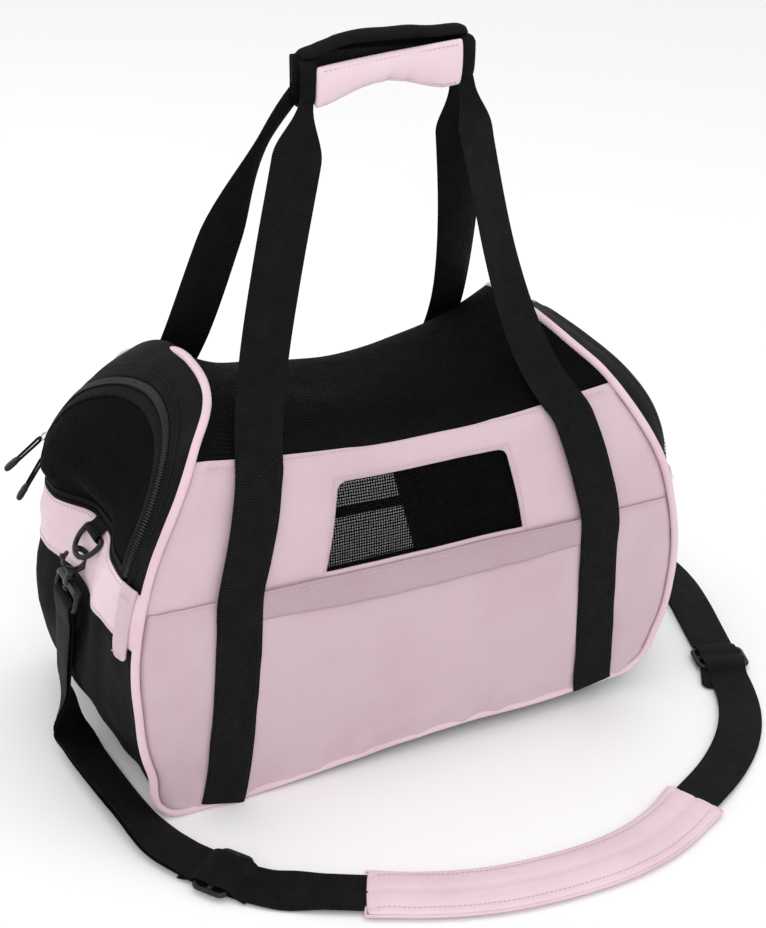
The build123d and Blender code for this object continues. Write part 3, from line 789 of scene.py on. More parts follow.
def end_half(z):
    """Half length of the recessed end walls at height z."""
    if z < BELLY_Z:
        return mix(BASE_HALF, END_BELLY, corner_share(max(z, 0.0)))
    slope = -math.tan(LEAN)
    if z > KNEE_Z:
        return END_KNEE + slope * (z - KNEE_Z)
    t = (z - BELLY_Z) / (KNEE_Z - BELLY_Z)
    bend = (t**3 - t**2) * (KNEE_Z - BELLY_Z) * slope
    return END_BELLY + (END_KNEE - END_BELLY) * (3 * t**2 - 2 * t**3) + bend


def ripple(x, y, z, scale, seed):
    return noise.noise(Vector((x * scale + seed, y * scale - seed, z * scale)))


PUFF = 0.0035
SHOULDER = {-1: 0.0075, 1: 0.0055}  # how far each end has settled outwards under the crown
FOOT = {-1: 0.0145, 1: 0.0080}  # how far each end is drawn in at its foot
CURL = 0.0135


def settle(x, y, z):
    """x where the soft ends really are: further out under the crown, drawn in at the foot and at the rear."""
    hand = 1 if x > 0 else -1
    out = SHOULDER[hand] * smooth(z, 0.180, 0.245) * (1 - smooth(z, 0.310, 0.338))
    out -= FOOT[hand] * (1 - smooth(z, 0.100, 0.210)) * (1.5 * smooth(z, 0.0, 0.05) - 0.5)
    out *= 1 - smooth(y, -0.100, -0.030)
    rear = 0.014 + 0.014 * (hand < 0) * (1 - smooth(z, 0.200, 0.260))
    out -= rear * smooth(y, 0.060, 0.125) * smooth(CROWN_Z - z, 0.0, 0.06)
    return x + hand * out * min(abs(x) / half_length(z), 1.0) ** 4


def curl(x, y, z):
    """How far the bag's lower front edge has rolled up off the floor, more to the right."""
    rise = CURL * smooth(x, -0.19, 0.06) + 0.005 * smooth(x, 0.12, 0.22)
    return rise * smooth(-y, 0.092, 0.124) * (1 - smooth(z, 0.0, 0.11))


def soften(point):
    """Where a point of the sewn shell really is: the crown sags, the walls puff, the cloth ripples."""
    x, y, z = point
    share = min(abs(x) / half_length(z), 1.0)
    middle = 1 - share**2
    front, rear = smooth(z, PANEL_TOP - 0.020, CROWN_Z - 0.004), smooth(z, 0.140, CROWN_Z)
    crown = mix(front, rear, smooth(y, -0.02, 0.08))
    side = max(-1.0, min(1.0, y / 0.06))
    puff = PUFF * (1 - share**4) * math.sin(math.pi * min(max(z / PANEL_TOP, 0.0), 1.0))
    loose = 0.3 + 0.7 * middle
    x, z = settle(x, y, z), z + curl(x, y, z)
    z += -CROWN_SAG * middle * crown + 0.0022 * loose * crown * ripple(x * 0.7, y * 1.6, 0, 16, 3.0)
    y += side * (puff + 0.0016 * loose * ripple(x, 0, z, 13, 7.0) + 0.0006 * ripple(x, 0, z, 38, 1.0))
    if x < 0:
        z -= 0.010 * smooth(-x, 0.05, 0.15) * smooth(y, 0.0, 0.06) * (1 - smooth(y, 0.07, 0.10)) * crown
    return Vector((x, y, z))


def on_wall(side, x, z, lift=0.0):
    """A point of the front (-1) or rear (1) wall, lifted off it."""
    step = 0.0005
    slope = (half_depth(z + step) - half_depth(z - step)) / (2 * step) if z < CROWN_Z - 0.01 else -3.0
    long = math.hypot(1.0, slope)
    y = half_depth(z) + lift / long
    return soften((x, side * y, z - lift * slope / long))


def normal_of(surface, which, across, z):
    """The normal of on_wall or on_end at a place, turned either way."""
    step = 0.002
    along = surface(which, across + step, z) - surface(which, across - step, z)
    rise = surface(which, across, z + step) - surface(which, across, z - step)
    return along.cross(rise).normalized()


def wall_normal(side, x, z):
    normal = normal_of(on_wall, side, x, z)
    return normal if normal.y * side > 0 else -normal


def swell(hand, y, z, share):
    """How far an end wall stands out from its piping. The left one swells towards the rear."""
    if hand < 0:
        tilt = smooth(y, -0.115, 0.088) * (1 - share**8)
        return 0.008 * (1 - share**6) + tilt * mix(0.002, 0.036, smooth(z, HINGE_Z - 0.050, HINGE_Z + 0.045))
    return 0.006 * (1 - share**8) + 0.036 * (1 - share**10) * smooth(z, 0.160, 0.300)


def rim_share(y, z):
    """0 in the middle of an end wall, 1 at its piping."""
    across = abs(y) / DEPTH_HALF
    if z < SPRING_Z:
        return across
    rise = max(z - SPRING_Z, 0.0) / (CROWN_Z - SPRING_Z)
    return (across**ARCH_POWER + rise**ARCH_POWER) ** (1 / ARCH_POWER)


def on_end(hand, y, z, lift=0.0):
    """A point of the left (-1) or right (1) end wall, lifted off it."""
    share = min(rim_share(y, z), 1.0)
    flat = end_half(z)
    out = swell(hand, y, z, share) + (1 - share**4) * 0.0018 * ripple(0, y, z, 22, 4.0 * hand)
    full = half_length(z) - 0.003 + out * smooth(z, 0.010, 0.110)
    # The D-ring's tab and the hook draw the wall in, and so does the fold under the door.
    hook = 1 - smooth(abs(y - RING_Y), 0.014, 0.060)
    hook *= smooth(z, 0.080, 0.140) * (1 - smooth(z, 0.206, 0.250))
    fold = 0.20 * (1 - smooth(abs(z - HINGE_Z), 0.003, 0.020)) * (1 - smooth(abs(y), 0.060, 0.100))
    reach = mix(mix(full, flat, fold), flat + 0.002, hook)
    reach = abs(settle(hand * reach, y, z))
    cos, sin = (math.cos(LEAN), math.sin(LEAN)) if z > KNEE_Z else (1.0, 0.0)
    return Vector((hand * (reach + lift * cos), y, z + lift * sin + curl(hand * reach, y, z)))


def end_normal(hand, y, z):
    normal = normal_of(on_end, hand, y, z)
    return normal if normal.x * hand > 0 else -normal


def corner_heights(steps):
    """Heights round a lower corner, close together where the outline turns."""
    turns = [math.radians(90 * k / steps) for k in range(1, steps)]
    return [BELLY_Z * (1 - math.cos(t) ** (2 / CORNER_POWER)) for t in turns]


def heights(low, high, step, wanted=()):
    """Row heights between two, with the corner's own rows and any wanted ones."""
    count = max(1, int(round((high - low) / step)))
    even = [low + (high - low) * k / count for k in range(count + 1)]
    rows = [z for z in even if z > BELLY_Z or low > 0.05]
    rows += [z for z in corner_heights(26) if low < z < high and low <= 0.05]
    rows += [low, high, *[z for z in wanted if low < z < high]]
    rows.sort()
    return [z for k, z in enumerate(rows) if k == 0 or z - rows[k - 1] > 0.0006]


# ---------------------------------------------------------------- front and rear walls
def window_of(node, upper_half):
    low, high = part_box(node)
    return low[2], high[2], high[0], upper_half


WINDOWS = {-1: window_of("front_window_mesh", 0.074), 1: window_of("rear_window_mesh", 0.062)}
NAMES = {-1: "front", 1: "rear"}
EDGE = 0.0025  # from the piping's line to the edge of a wall
COLUMNS, MIDDLE = 34, 40  # of a wall's mesh, beside its window and across it


def window_half(side, z):
    low, high, low_half, high_half = WINDOWS[side]
    share = min(max((z - low) / (high - low), 0.0), 1.0)
    corner = 0.006
    half = mix(low_half, high_half, share)
    near = min(max(high - z, 0.0), corner) if z <= high else corner
    return half - (corner - math.sqrt(max(corner**2 - (corner - near) ** 2, 0.0)))


def window_gap(side, x, z):
    """How far a point of the wall lies outside the window's edge."""
    low, high, _, _ = WINDOWS[side]
    return max(abs(x) - window_half(side, z), low - z, z - high)


def panel_lift(side, x, z):
    """Small steps in the panel: hemmed edges stand proud, and seams draw in."""
    rim = half_length(z) - EDGE - abs(x)
    lift = -0.0016 * (1 - smooth(rim, 0.0, 0.007)) + 0.0009 * (1 - smooth(abs(rim - 0.011), 0.0, 0.006))
    lift += 0.0010 * smooth(z, PANEL_TOP - 0.0075, PANEL_TOP - 0.0060)
    gap = window_gap(side, x, z)
    if gap > 0:
        lift += 0.0008 * (1 - smooth(gap, 0.0050, 0.0062))
    lift += 0.0005 * ripple(x, 0, z, 75, 2.0) * (1 - smooth(rim, 0.0, 0.03))
    return lift


def wall_rows(side, zs, half_at, breaks, lift_at, columns=COLUMNS, middle=MIDDLE):
    """Rows of points over a wall: left, middle and right stretches between half_at and breaks."""
    rows = []
    for z in zs:
        half, inner = half_at(z), breaks(z)
        xs = [mix(-half, -inner, k / columns) for k in range(columns)]
        xs += [mix(-inner, inner, k / middle) for k in range(middle)]
        xs += [mix(inner, half, k / columns) for k in range(columns + 1)]
        rows.append([on_wall(side, x, z, lift_at(side, x, z)) for x in xs])
    return rows


def wall_panel(side):
    low, high, _, _ = WINDOWS[side]
    wanted = [low, high, high - 0.0008, high - 0.0022, high - 0.004, high - 0.006, HEM_TOP]
    wanted += [PANEL_TOP - d for d in (0.0008, 0.0055, 0.0065, 0.0080)]
    zs = heights(0.0022, PANEL_TOP, 0.0055, wanted)
    rows = wall_rows(side, zs, lambda z: half_length(z) - EDGE, lambda z: window_half(side, z), panel_lift)

    def in_window(i, j):
        return low - 1e-6 <= zs[i] and zs[i + 1] <= high + 1e-6 and COLUMNS <= j < COLUMNS + MIDDLE

    panel = sheet(NAMES[side] + "_wall", rows, [PINK, LINING], REARWARD * side, skip=in_window)
    thicken(panel, 0.0016, inner_slot=1)
    assign(panel, "bag", "coated_fabric", NAMES[side] + "_panel")

    zs = spaced(low - 0.004, high + 0.004, 24)
    rows = wall_rows(side, zs, lambda z: window_half(side, z) + 0.005, lambda z: 0.03,
                     lambda s, x, z: -0.0019, columns=14, middle=10)
    paint = WINDOW_NET if side < 0 else REAR_NET
    net = sheet(NAMES[side] + "_window", rows, paint, REARWARD * side, sharp=40)
    assign(net, "bag", "window_mesh", NAMES[side] + "_window_mesh")


pink_seams, black_seams = Thread(), Thread()
for side in (-1, 1):
    wall_panel(side)


def wall_seam(side, points, lift=0.0008):
    """Pink stitches along a line of (x, z) points on a wall."""
    dense = resample([Vector((x, 0, z)) for x, z in points], 0.004)
    line = [on_wall(side, p.x, p.z, lift + panel_lift(side, p.x, p.z)) for p in dense]
    pink_seams.sew(line, [wall_normal(side, p.x, p.z) for p in dense])


for side in (-1, 1):
    low, high, low_half, high_half = WINDOWS[side]
    inset = 0.0032
    reach = half_length(PANEL_TOP - 0.005) - 0.012
    if side == -1:
        wall_seam(side, [(-reach, PANEL_TOP - 0.0048), (reach, PANEL_TOP - 0.0048)])
    corners = [(-low_half - inset, low - inset), (-high_half - inset, high + inset)]
    corners += [(high_half + inset, high + inset), (low_half + inset, low - inset)]
    for start, end in zip(corners, corners[1:]):
        wall_seam(side, [start, end])
    if side == 1:
        wall_seam(side, [corners[-1], corners[0]])


# ---------------------------------------------------------------- pocket on the front
POCKET_LIFT = 0.0022
SAG_OF_MOUTH = 0.004


def pocket_lift(side, x, z):
    rim = half_length(z) - 0.006 - abs(x)
    lift = POCKET_LIFT + panel_lift(side, x, z) - 0.0010 * (1 - smooth(rim, 0.0, 0.006))
    belly = (1 - min(abs(x) / 0.24, 1.0) ** 4) * math.sin(math.pi * min(z / POCKET_TOP, 1.0))
    lift += 0.0025 * belly
    pucker = ripple(x, 0, z, 55, 9.0) * (1 - smooth(z, 0.004, 0.055))
    return lift + 0.0024 * pucker + 0.0010 * ripple(x * 2.2, 0, z * 0.5, 28, 5.0) * belly


pocket_zs = heights(0.0045, HEM_TOP - 0.0012, 0.0055, [HEM_TOP - 0.0022, HEM_TOP - 0.0040])
pocket_rows = wall_rows(-1, pocket_zs, lambda z: half_length(z) - 0.0045, lambda z: 0.06, pocket_lift)
# The pocket wears the darker copy of the pink: painted shade.
pocket = sheet("pocket", pocket_rows, PINK_POCKET_SHADE, -REARWARD)
thicken(pocket, 0.0012)
assign(pocket, "bag", "coated_fabric", "pocket_panel")


def hem_lift(side, x, z):
    down = (HEM_TOP - z) / (HEM_TOP - HEM_LOW)
    middle = 1 - smooth(abs(x), 0.55 * HEM_HALF, 0.98 * HEM_HALF)
    lift = pocket_lift(side, x, min(z, POCKET_TOP)) + 0.0013
    lift += 0.0018 * smooth(down, 0.45, 1.0) * middle
    return lift + 0.0009 * ripple(x * 1.5, 0, z, 24, 11.0) * down * (0.25 + 0.75 * middle)


hem_zs = spaced(HEM_LOW, HEM_TOP, 10)
hem_rows = []
for z in hem_zs:
    down = (HEM_TOP - z) / (HEM_TOP - HEM_LOW)
    row = []
    for k in range(73):
        x = mix(-HEM_HALF - HEM_SPARE, HEM_HALF + HEM_SPARE, k / 72)
        droop = SAG_OF_MOUTH * down**1.5 * math.sin(math.pi * k / 72) * (0.8 + 0.4 * ripple(x, 0, 0, 11, 2.0))
        row.append(on_wall(-1, x, z - droop, hem_lift(-1, x, z)))
    hem_rows.append(row)
# The hem wears the darker copy of the pink: painted shade.
hem = sheet("pocket_mouth_hem", hem_rows, PINK_HEM_SHADE, -REARWARD)
thicken(hem, 0.0010)
assign(hem, "bag", "coated_fabric", "pocket_hem")
reach = half_length(HEM_TOP) - 0.008
wall_seam(-1, [(-reach, HEM_TOP - 0.0032), (-HEM_HALF, HEM_TOP - 0.0032)], lift=0.0034)
wall_seam(-1, [(-HEM_HALF, HEM_TOP - 0.0030), (HEM_HALF, HEM_TOP - 0.0030)], lift=0.0056)
wall_seam(-1, [(HEM_HALF, HEM_TOP - 0.0032), (reach, HEM_TOP - 0.0032)], lift=0.0034)


# ---------------------------------------------------------------- piping
PIPE = 0.0034


def outline_points():
    """(x, z) along the bag's edge from the left crown round the base to the right crown."""
    turns = [math.radians(a) for a in range(87, 0, -3)]
    arch = [SPRING_Z + (CROWN_Z - SPRING_Z) * math.sin(t) ** (2 / ARCH_POWER) for t in turns]
    upper = [CROWN_Z, *arch, *spaced(SPRING_Z, BELLY_Z, 6)]
    left = [(-half_length(z), z) for z in upper]
    for k in range(1, 25):
        turn = math.radians(90 * k / 24)
        x = BASE_HALF + (BELLY_HALF - BASE_HALF) * math.cos(turn) ** (2 / CORNER_POWER)
        left.append((-x, BELLY_Z * (1 - math.sin(turn) ** (2 / CORNER_POWER))))
    right = [(-x, z) for x, z in reversed(left)]
    run = [(mix(-BASE_HALF, BASE_HALF, k / 60), 0.0) for k in range(1, 60)]
    return left + run + right


def piping(side):
    line = []
    for x, z in outline_points():
        base = max(z, 0.0034)
        point = on_wall(side, x, base, 0.0005)
        if abs(half_depth(z)) < 1e-6:
            point = soften((x, 0.0, CROWN_Z + 0.0005))
        line.append(point)
    line = relaxed(resample(line, 0.004), 2)
    wobble = [PIPE * (1 + 0.05 * noise.noise(p * 60)) for p in line]
    bead = tube(NAMES[side] + "_piping_bead", line, wobble, PINK_PIPE, sides=14, start=(0, side, 0))
    assign(bead, "bag", "piping", NAMES[side] + "_piping")


for side in (-1, 1):
    piping(side)


# ---------------------------------------------------------------- mesh crown and base
def crown_rows():
    rows = []
    count = 44
    front, rear = (math.asin(((z - SPRING_Z) / (CROWN_Z - SPRING_Z)) ** (ARCH_POWER / 2))
                   for z in (PANEL_TOP - 0.006, PANEL_TOP - 0.030))
    for i in range(2 * count + 1):
        turn = mix(front, math.pi - rear, i / (2 * count))
        z = SPRING_Z + (CROWN_Z - SPRING_Z) * math.sin(turn) ** (2 / ARCH_POWER)
        y = -DEPTH_HALF * bulge(math.cos(turn), 2 / ARCH_POWER)
        half = half_length(z) - 0.0015
        row = []
        for x in spaced(-half, half, 96):
            over = (0.0030 + 0.0015 * (1 - smooth(abs(x), 0.060, 0.110))) * smooth(y, 0.02, 0.06)
            over -= 0.0012 * (1 - smooth(z, PANEL_TOP, PANEL_TOP + 0.004)) * (y < 0)
            row.append(soften((x, y * (1 + over / DEPTH_HALF * 1.4), z + over * 0.4)))
        rows.append(row)
    return rows


crown = sheet("crown_net", crown_rows(), TOP_NET, UP, sharp=80)
assign(crown, "bag", "mesh", "top_mesh")

base_rows = []
for y in spaced(-DEPTH_HALF + 0.002, DEPTH_HALF - 0.002, 60):
    row = []
    for x in spaced(-BASE_HALF - 0.004, BASE_HALF + 0.004, 48):
        row.append(Vector((x, y, 0.0007 + 0.0005 * noise.noise(Vector((x * 20, y * 20, 0))) + curl(x, y, 0))))
    base_rows.append(row)
base = sheet("base_cloth", base_rows, BLACK, -UP, sharp=80)
thicken(base, -0.0012)
assign(base, "bag", "black_fabric", "base_panel")

board_low, board_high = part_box("base_board")
BOARD_CORNER = 0.020
board_rows = []
for y in spaced(board_low[1] + 0.001, board_high[1] - 0.001, 60):
    corner = max(abs(y) - board_high[1] + BOARD_CORNER, 0.0)
    half = board_high[0] - 0.004 - BOARD_CORNER + math.sqrt(max(BOARD_CORNER**2 - corner**2, 0.0))
    xs = spaced(-half, half, 48)
    board_rows.append([Vector((x, y, board_low[2] + 0.0004 + curl(x, y, 0))) for x in xs])
board = sheet("stiffener", board_rows, BOARD, UP)
thicken(board, -0.0026)
assign(board, "bag", "board", "base_board")


# ---------------------------------------------------------------- fleece mat
def fleece_mat():
    low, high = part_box("fleece_mat")
    rows = []
    for i in range(41):
        v = -1 + 2 * i / 40
        row = []
        for j in range(57):
            u = -1 + 2 * j / 56
            x, y = u * (high[0] - 0.002), v * (high[1] - 0.002)
            edge = 1 - smooth(max(abs(u), abs(v)), 0.90, 1.0)
            tuft = 0.0014 * noise.noise(Vector((x * 90, y * 90, 0)))
            tuft += 0.0010 * noise.noise(Vector((x * 25, y * 25, 5)))
            z = low[2] + 0.001 + (high[2] - low[2] - 0.004) * (0.35 + 0.65 * edge) + tuft
            row.append(Vector((x, y, z + curl(x, y, 0))))
        rows.append(row)
    mat = sheet("fleece_bed", rows, FLEECE, UP, sharp=80)
    assign(mat, "bag", "fleece", "fleece_mat")


fleece_mat()


# ---------------------------------------------------------------- sewn handle straps
def strap_x(z):
    """Where the middle of a sewn strap runs, bent gently at the hem and at the base."""
    lower = mix(STRAP_LOW_X, STRAP_HEM_X, z / HEM_TOP)
    upper = mix(STRAP_HEM_X, STRAP_TOP_X, (z - HEM_TOP) / (PANEL_TOP - HEM_TOP))
    return mix(lower, upper, smooth(z, HEM_TOP - 0.03, HEM_TOP + 0.03)) - 0.004 * (1 - smooth(z, 0.0, 0.05))


WEB_LIFT = {-1: 0.0052, 1: 0.0032}  # middle of the webbing above the front and rear walls


def sewn_straps(side):
    parts = []
    zs = spaced(0.004, FOOT_Z + 0.0004, 70)
    for hand in (-1, 1):
        line = [on_wall(side, hand * strap_x(z), z, WEB_LIFT[side]) for z in zs]
        across = []
        for k, z in enumerate(zs):
            run = (line[min(k + 1, 70)] - line[max(k - 1, 0)]).normalized()
            across.append(run.cross(wall_normal(side, hand * strap_x(z), z)))
        parts.append(band("strap", line, across, WEB, WEB_THICK, WEBBING))
        for offset in (-0.0155, 0.0155):
            seam = [p + a.normalized() * offset + wall_normal(side, p.x, z) * 0.0008
                    for p, a, z in zip(line, across, zs)]
            black_seams.sew(seam, [wall_normal(side, p.x, z) for p, z in zip(line, zs)], pitch=0.0046)
        top = [(p, a.normalized()) for p, a, z in zip(line, across, zs)
               if z > PANEL_TOP - 0.036 or z == zs[-1]]
        for start, end in ((-1, 1), (1, -1)):
            seam = []
            for (p, a), share in zip(top, spaced(start, end, len(top) - 1)):
                seam.append(p + a * (0.0145 * share) + wall_normal(side, p.x, p.z) * 0.0009)
            black_seams.sew(seam, [wall_normal(side, p.x, p.z) for p in seam])
    if side == 1:
        # A strip of black webbing across the rear window stands in for the shadow that the end's pink band
        # casts inside the bag: a painted shadow, not a real part.
        line = [on_wall(1, x, SHADOW_BAR_Z, 0.0014) for x in spaced(-SHADOW_BAR_HALF, SHADOW_BAR_HALF, 60)]
        parts.append(band("tape", line, [UP] * 61, SHADOW_BAR_WIDE, 0.0014, WEBBING))
    piece = joined(NAMES[side] + "_strap_sewn", parts)
    assign(piece, "bag", "webbing", NAMES[side] + "_sewn_straps")


for side in (-1, 1):
    sewn_straps(side)


# ---------------------------------------------------------------- end walls
SIN, COS = math.sin(LEAN), math.cos(LEAN)
ENDS = {-1: "left_", 1: "right_"}
GUSSET_HOLE = 0.0999
TEETH_PITCH = 0.0024


FOLD_HALF = 0.0945  # half length of the fold that the door hangs from
FOOT_HALF = 0.0905  # half length of the door's lower hem
SEAM_HALF = 0.119  # half length of the seams along the pink band


def door_point(hand, y, up, lift=0.0):
    """A point of an end wall by its height up the lean from the door's fold."""
    return on_end(hand, y, HINGE_Z + up * COS, lift)


def door_normal(hand):
    return Vector((hand * COS, 0, SIN))


def end_patch(hand, name, zs, reach_at, lift_at, material, columns=72):
    """A patch across an end wall, with its columns close together by the piping."""
    rows = []
    for z in zs:
        ys = [reach_at(z) * math.sin(math.pi / 2 * (-1 + 2 * k / columns)) for k in range(columns + 1)]
        rows.append([on_end(hand, y, z, lift_at(y, z)) for y in ys])
    return sheet(ENDS[hand] + name, rows, material, Vector((hand, 0, 0)))


def creases(hand, y, z):
    """Soft upright folds in the slack end cloth."""
    rim = 1 - min(rim_share(y, z), 1.0)
    fold = 0.0034 * ripple(0, y * 1.4, z * 0.35, 30, 6.0 * hand) + 0.0010 * ripple(0, y, z, 70, 3.0)
    return fold * smooth(rim, 0.0, 0.14)


def end_walls(hand):
    zs = heights(0.0022, BAND_LOW + 0.006, 0.0050)
    lower = end_patch(hand, "lower_cloth", zs, lambda z: half_depth(z) - 0.0012,
                      lambda y, z: creases(hand, y, z), BLACK)
    thicken(lower, 0.0014)
    assign(lower, "bag", "black_fabric", ENDS[hand] + "end_lower")

    def band_lift(y, z):
        down = (BAND_HIGH - z) / (BAND_HIGH - BAND_LOW)
        plump = 0.0014 * math.sin(math.pi * min(max(down, 0.0), 1.0))
        return 0.0022 + plump + 0.6 * creases(hand, y, z)

    zs = spaced(BAND_LOW - 0.001, BAND_HIGH, 14)
    cover = end_patch(hand, "band_cover", zs, lambda z: half_depth(z) - 0.0016, band_lift, PINK_SOFT)
    thicken(cover, 0.0016)
    assign(cover, "bag", "coated_fabric", ENDS[hand] + "end_band")
    for z in (BAND_LOW + 0.0028, BAND_HIGH - 0.0032):
        line = [on_end(hand, y, z, band_lift(y, z) + 0.0002) for y in spaced(-SEAM_HALF, SEAM_HALF, 60)]
        pink_seams.sew(line, [end_normal(hand, p.y, z) for p in line])

    # A welt along the fold that the door hangs from.
    welt = [on_end(hand, y, HINGE_Z - 0.0006, 0.0002) for y in spaced(-FOLD_HALF, FOLD_HALF, 50)]
    fold = tube(ENDS[hand] + "fold_welt", welt, 0.0019, TAPE, sides=10, start=(hand, 0, 0))
    assign(fold, "bag", "black_fabric")


def doorway(radius, foot, spacing):
    """(y, up, outward y, outward up) along a doorway's outline, from its front foot to its rear one."""
    legs = max(2, int(round((DOOR_LEG - foot) / spacing)))
    arc = int(round(math.pi * radius / spacing))
    places = [(-radius, mix(foot, DOOR_LEG, k / legs), -1.0, 0.0) for k in range(legs)]
    for k in range(arc + 1):
        cos, sin = math.cos(math.pi * k / arc), math.sin(math.pi * k / arc)
        places.append((-radius * cos, DOOR_LEG + radius * sin, -cos, sin))
    return places + [(radius, mix(DOOR_LEG, foot, k / legs), 1.0, 0.0) for k in range(1, legs + 1)]


def rim_reach(turn):
    """Distance from the arch's middle to the piping. Turn 0 is the front, half a turn the rear."""
    low, high = 0.0, 0.3
    for _ in range(28):
        reach = (low + high) / 2
        inside = rim_share(-reach * math.cos(turn), HINGE_Z + (DOOR_LEG + reach * math.sin(turn)) * COS) < 1
        low, high = (reach, high) if inside else (low, reach)
    return low


def strip(hand, name, places, width, lift_at, material, columns):
    """A strip of cloth outwards from a doorway line. width is a number or a function of a place."""
    rows = []
    for place in places:
        y, up, out_y, out_up = place
        wide = width(place) if callable(width) else width
        row = []
        for share in spaced(0, 1, columns):
            away = share * wide
            row.append(door_point(hand, y + out_y * away, up + out_up * away, lift_at(share, place)))
        rows.append(row)
    return sheet(ENDS[hand] + name, rows, material, door_normal(hand))


def gusset(hand):
    def width(place):
        y, up, out_y, out_up = place
        if out_up > 1e-6:
            return (rim_reach(math.atan2(out_up, -out_y)) - GUSSET_HOLE) * 0.985
        return (half_depth(HINGE_Z + up * COS) - GUSSET_HOLE) * 0.985

    def lift(share, place):
        tuck = 0.0010 * (1 - smooth(share, 0.10, 0.24)) - 0.0006 * (1 - smooth(abs(share - 0.28), 0.0, 0.07))
        loose = 0.0016 * ripple(0, place[0], place[1], 36, 12.0 + hand) * math.sin(math.pi * share)
        return 0.0004 + tuck + loose

    places = doorway(GUSSET_HOLE, -0.0022, 0.0034)
    piece = strip(hand, "gusset_tape", places, width, lift, TAPE, columns=18)
    thicken(piece, 0.0013)
    assign(piece, "bag", "black_fabric", ENDS[hand] + "zip_gusset")
    line, normals = [], []
    for y, up, out_y, out_up in doorway(GUSSET_HOLE + 0.0062, 0.006, 0.004):
        line.append(door_point(hand, y, up, 0.0012))
        normals.append(door_normal(hand))
    black_seams.sew(line, normals, long=0.0026, pitch=0.0036)


def door_net(hand):
    half = DOOR_RADIUS - 0.0035
    ups = [mix(0.0012, DOOR_LEG, k / 10) for k in range(10)]
    ups += [DOOR_LEG + half * math.sin(math.radians(88.5) * k / 44) for k in range(45)]
    rows = []
    for up in ups:
        wide = math.sqrt(max(half**2 - max(up - DOOR_LEG, 0.0) ** 2, 0.0))
        rows.append([door_point(hand, y, up, -0.0004) for y in spaced(-wide, wide, 60)])
    net = sheet(ENDS[hand] + "door_net", rows, DOOR_NET, door_normal(hand), sharp=80)
    layer = net.data.uv_layers[0]
    for corner in net.data.loops:
        place = net.data.vertices[corner.vertex_index].co
        layer.data[corner.index].uv = (place.y, (place.z - HINGE_Z) / COS)
    assign(net, ENDS[hand] + "door", "mesh", ENDS[hand] + "door_mesh")

    def rolled(share, place):
        return 0.0002 + 0.0012 * math.sin(math.pi * share) ** 0.5

    places = doorway(DOOR_RADIUS - 0.0085, 0.0016, 0.0034)
    edge = strip(hand, "edge", places, 0.0085, rolled, TAPE, columns=6)
    rows = []
    for share in spaced(0, 1, 6):
        lift, up = rolled(share, None), mix(0.0012, 0.0082, share)
        rows.append([door_point(hand, y, up, lift) for y in spaced(-FOOT_HALF, FOOT_HALF, 60)])
    foot = sheet("foot", rows, TAPE, door_normal(hand))
    binding = joined(ENDS[hand] + "door_binding", [thicken(edge, 0.0010), thicken(foot, 0.0010)])
    assign(binding, ENDS[hand] + "door", "black_fabric")


def zip_row(hand, radius, phase, tape_start, name, body):
    """One row of coil teeth on its strip of tape."""
    coil = Thread()
    for index, (y, up, out_y, out_up) in enumerate(doorway(radius, 0.003 + phase, TEETH_PITCH)):
        middle = door_point(hand, y, up, 0.0012)
        across = door_point(hand, y + out_y * 0.002, up + out_up * 0.002, 0.0012) - middle
        coil.add(middle, across.normalized(), door_normal(hand), 0.0046, 0.00072)
    teeth = coil.mesh("teeth", TEETH)
    places = doorway(tape_start, 0.0022, 0.0036)
    flat = strip(hand, "coil_tape", places, 0.0042, lambda share, place: 0.0003, TAPE, columns=3)
    piece = joined(ENDS[hand] + name, [teeth, thicken(flat, 0.0008)])
    assign(piece, body, "zip_coil", ENDS[hand] + name.replace("_teeth", "_coil"))


TAB_Y, TAB_HALF = 0.1085, 0.0100
TAB_LOW, TAB_HIGH = 0.1510, 0.2105


def zip_tabs(hand):
    parts = []
    for side in (-1, 1):
        rows = []
        for i in range(31):
            z = mix(TAB_LOW, TAB_HIGH, i / 30)
            corner = 0.0060
            cut = corner - math.sqrt(max(corner**2 - max(corner - (z - TAB_LOW), 0.0) ** 2, 0.0))
            row = []
            for k in range(17):
                v = -1 + k / 8
                y = side * (TAB_Y + v * (TAB_HALF - cut))
                pillow = 0.0022 * (1 - v**4) * math.sin(math.pi * (i + 2) / 34) ** 0.5
                row.append(on_end(hand, y, z, 0.0046 + pillow + 0.0007 * ripple(0, y, z, 90, 4.0)))
            rows.append(row)
        tab = sheet("tab", rows, PINK, Vector((hand, 0, 0)))
        parts.append(rounded(thicken(tab, 0.0026)))
        for z in (TAB_LOW + 0.0052, TAB_HIGH - 0.0060):
            line = [on_end(hand, side * (TAB_Y + TAB_HALF * v), z, 0.0070) for v in spaced(-0.7, 0.7, 12)]
            pink_seams.sew(line, Vector((hand, 0, 0)), pitch=0.0034, long=0.0025)
    piece = joined(ENDS[hand] + "zip_end_tabs", parts)
    assign(piece, "bag", "coated_fabric", ENDS[hand] + "zip_tabs")


for hand in (-1, 1):
    end_walls(hand)
    gusset(hand)
    door_net(hand)
    zip_row(hand, 0.0956, 0.0, 0.0926, "door_teeth", ENDS[hand] + "door")
    zip_row(hand, 0.0978, TEETH_PITCH / 2, 0.0969, "zip_teeth", "bag")
    zip_tabs(hand)


# ---------------------------------------------------------------- zip sliders and pulls
SLIDER_Y = 0.1012
SLIDERS = {"upper": (0.0300, 46, 14), "lower": (0.0095, 33, 4)}
PULL_LIFT = 0.0091


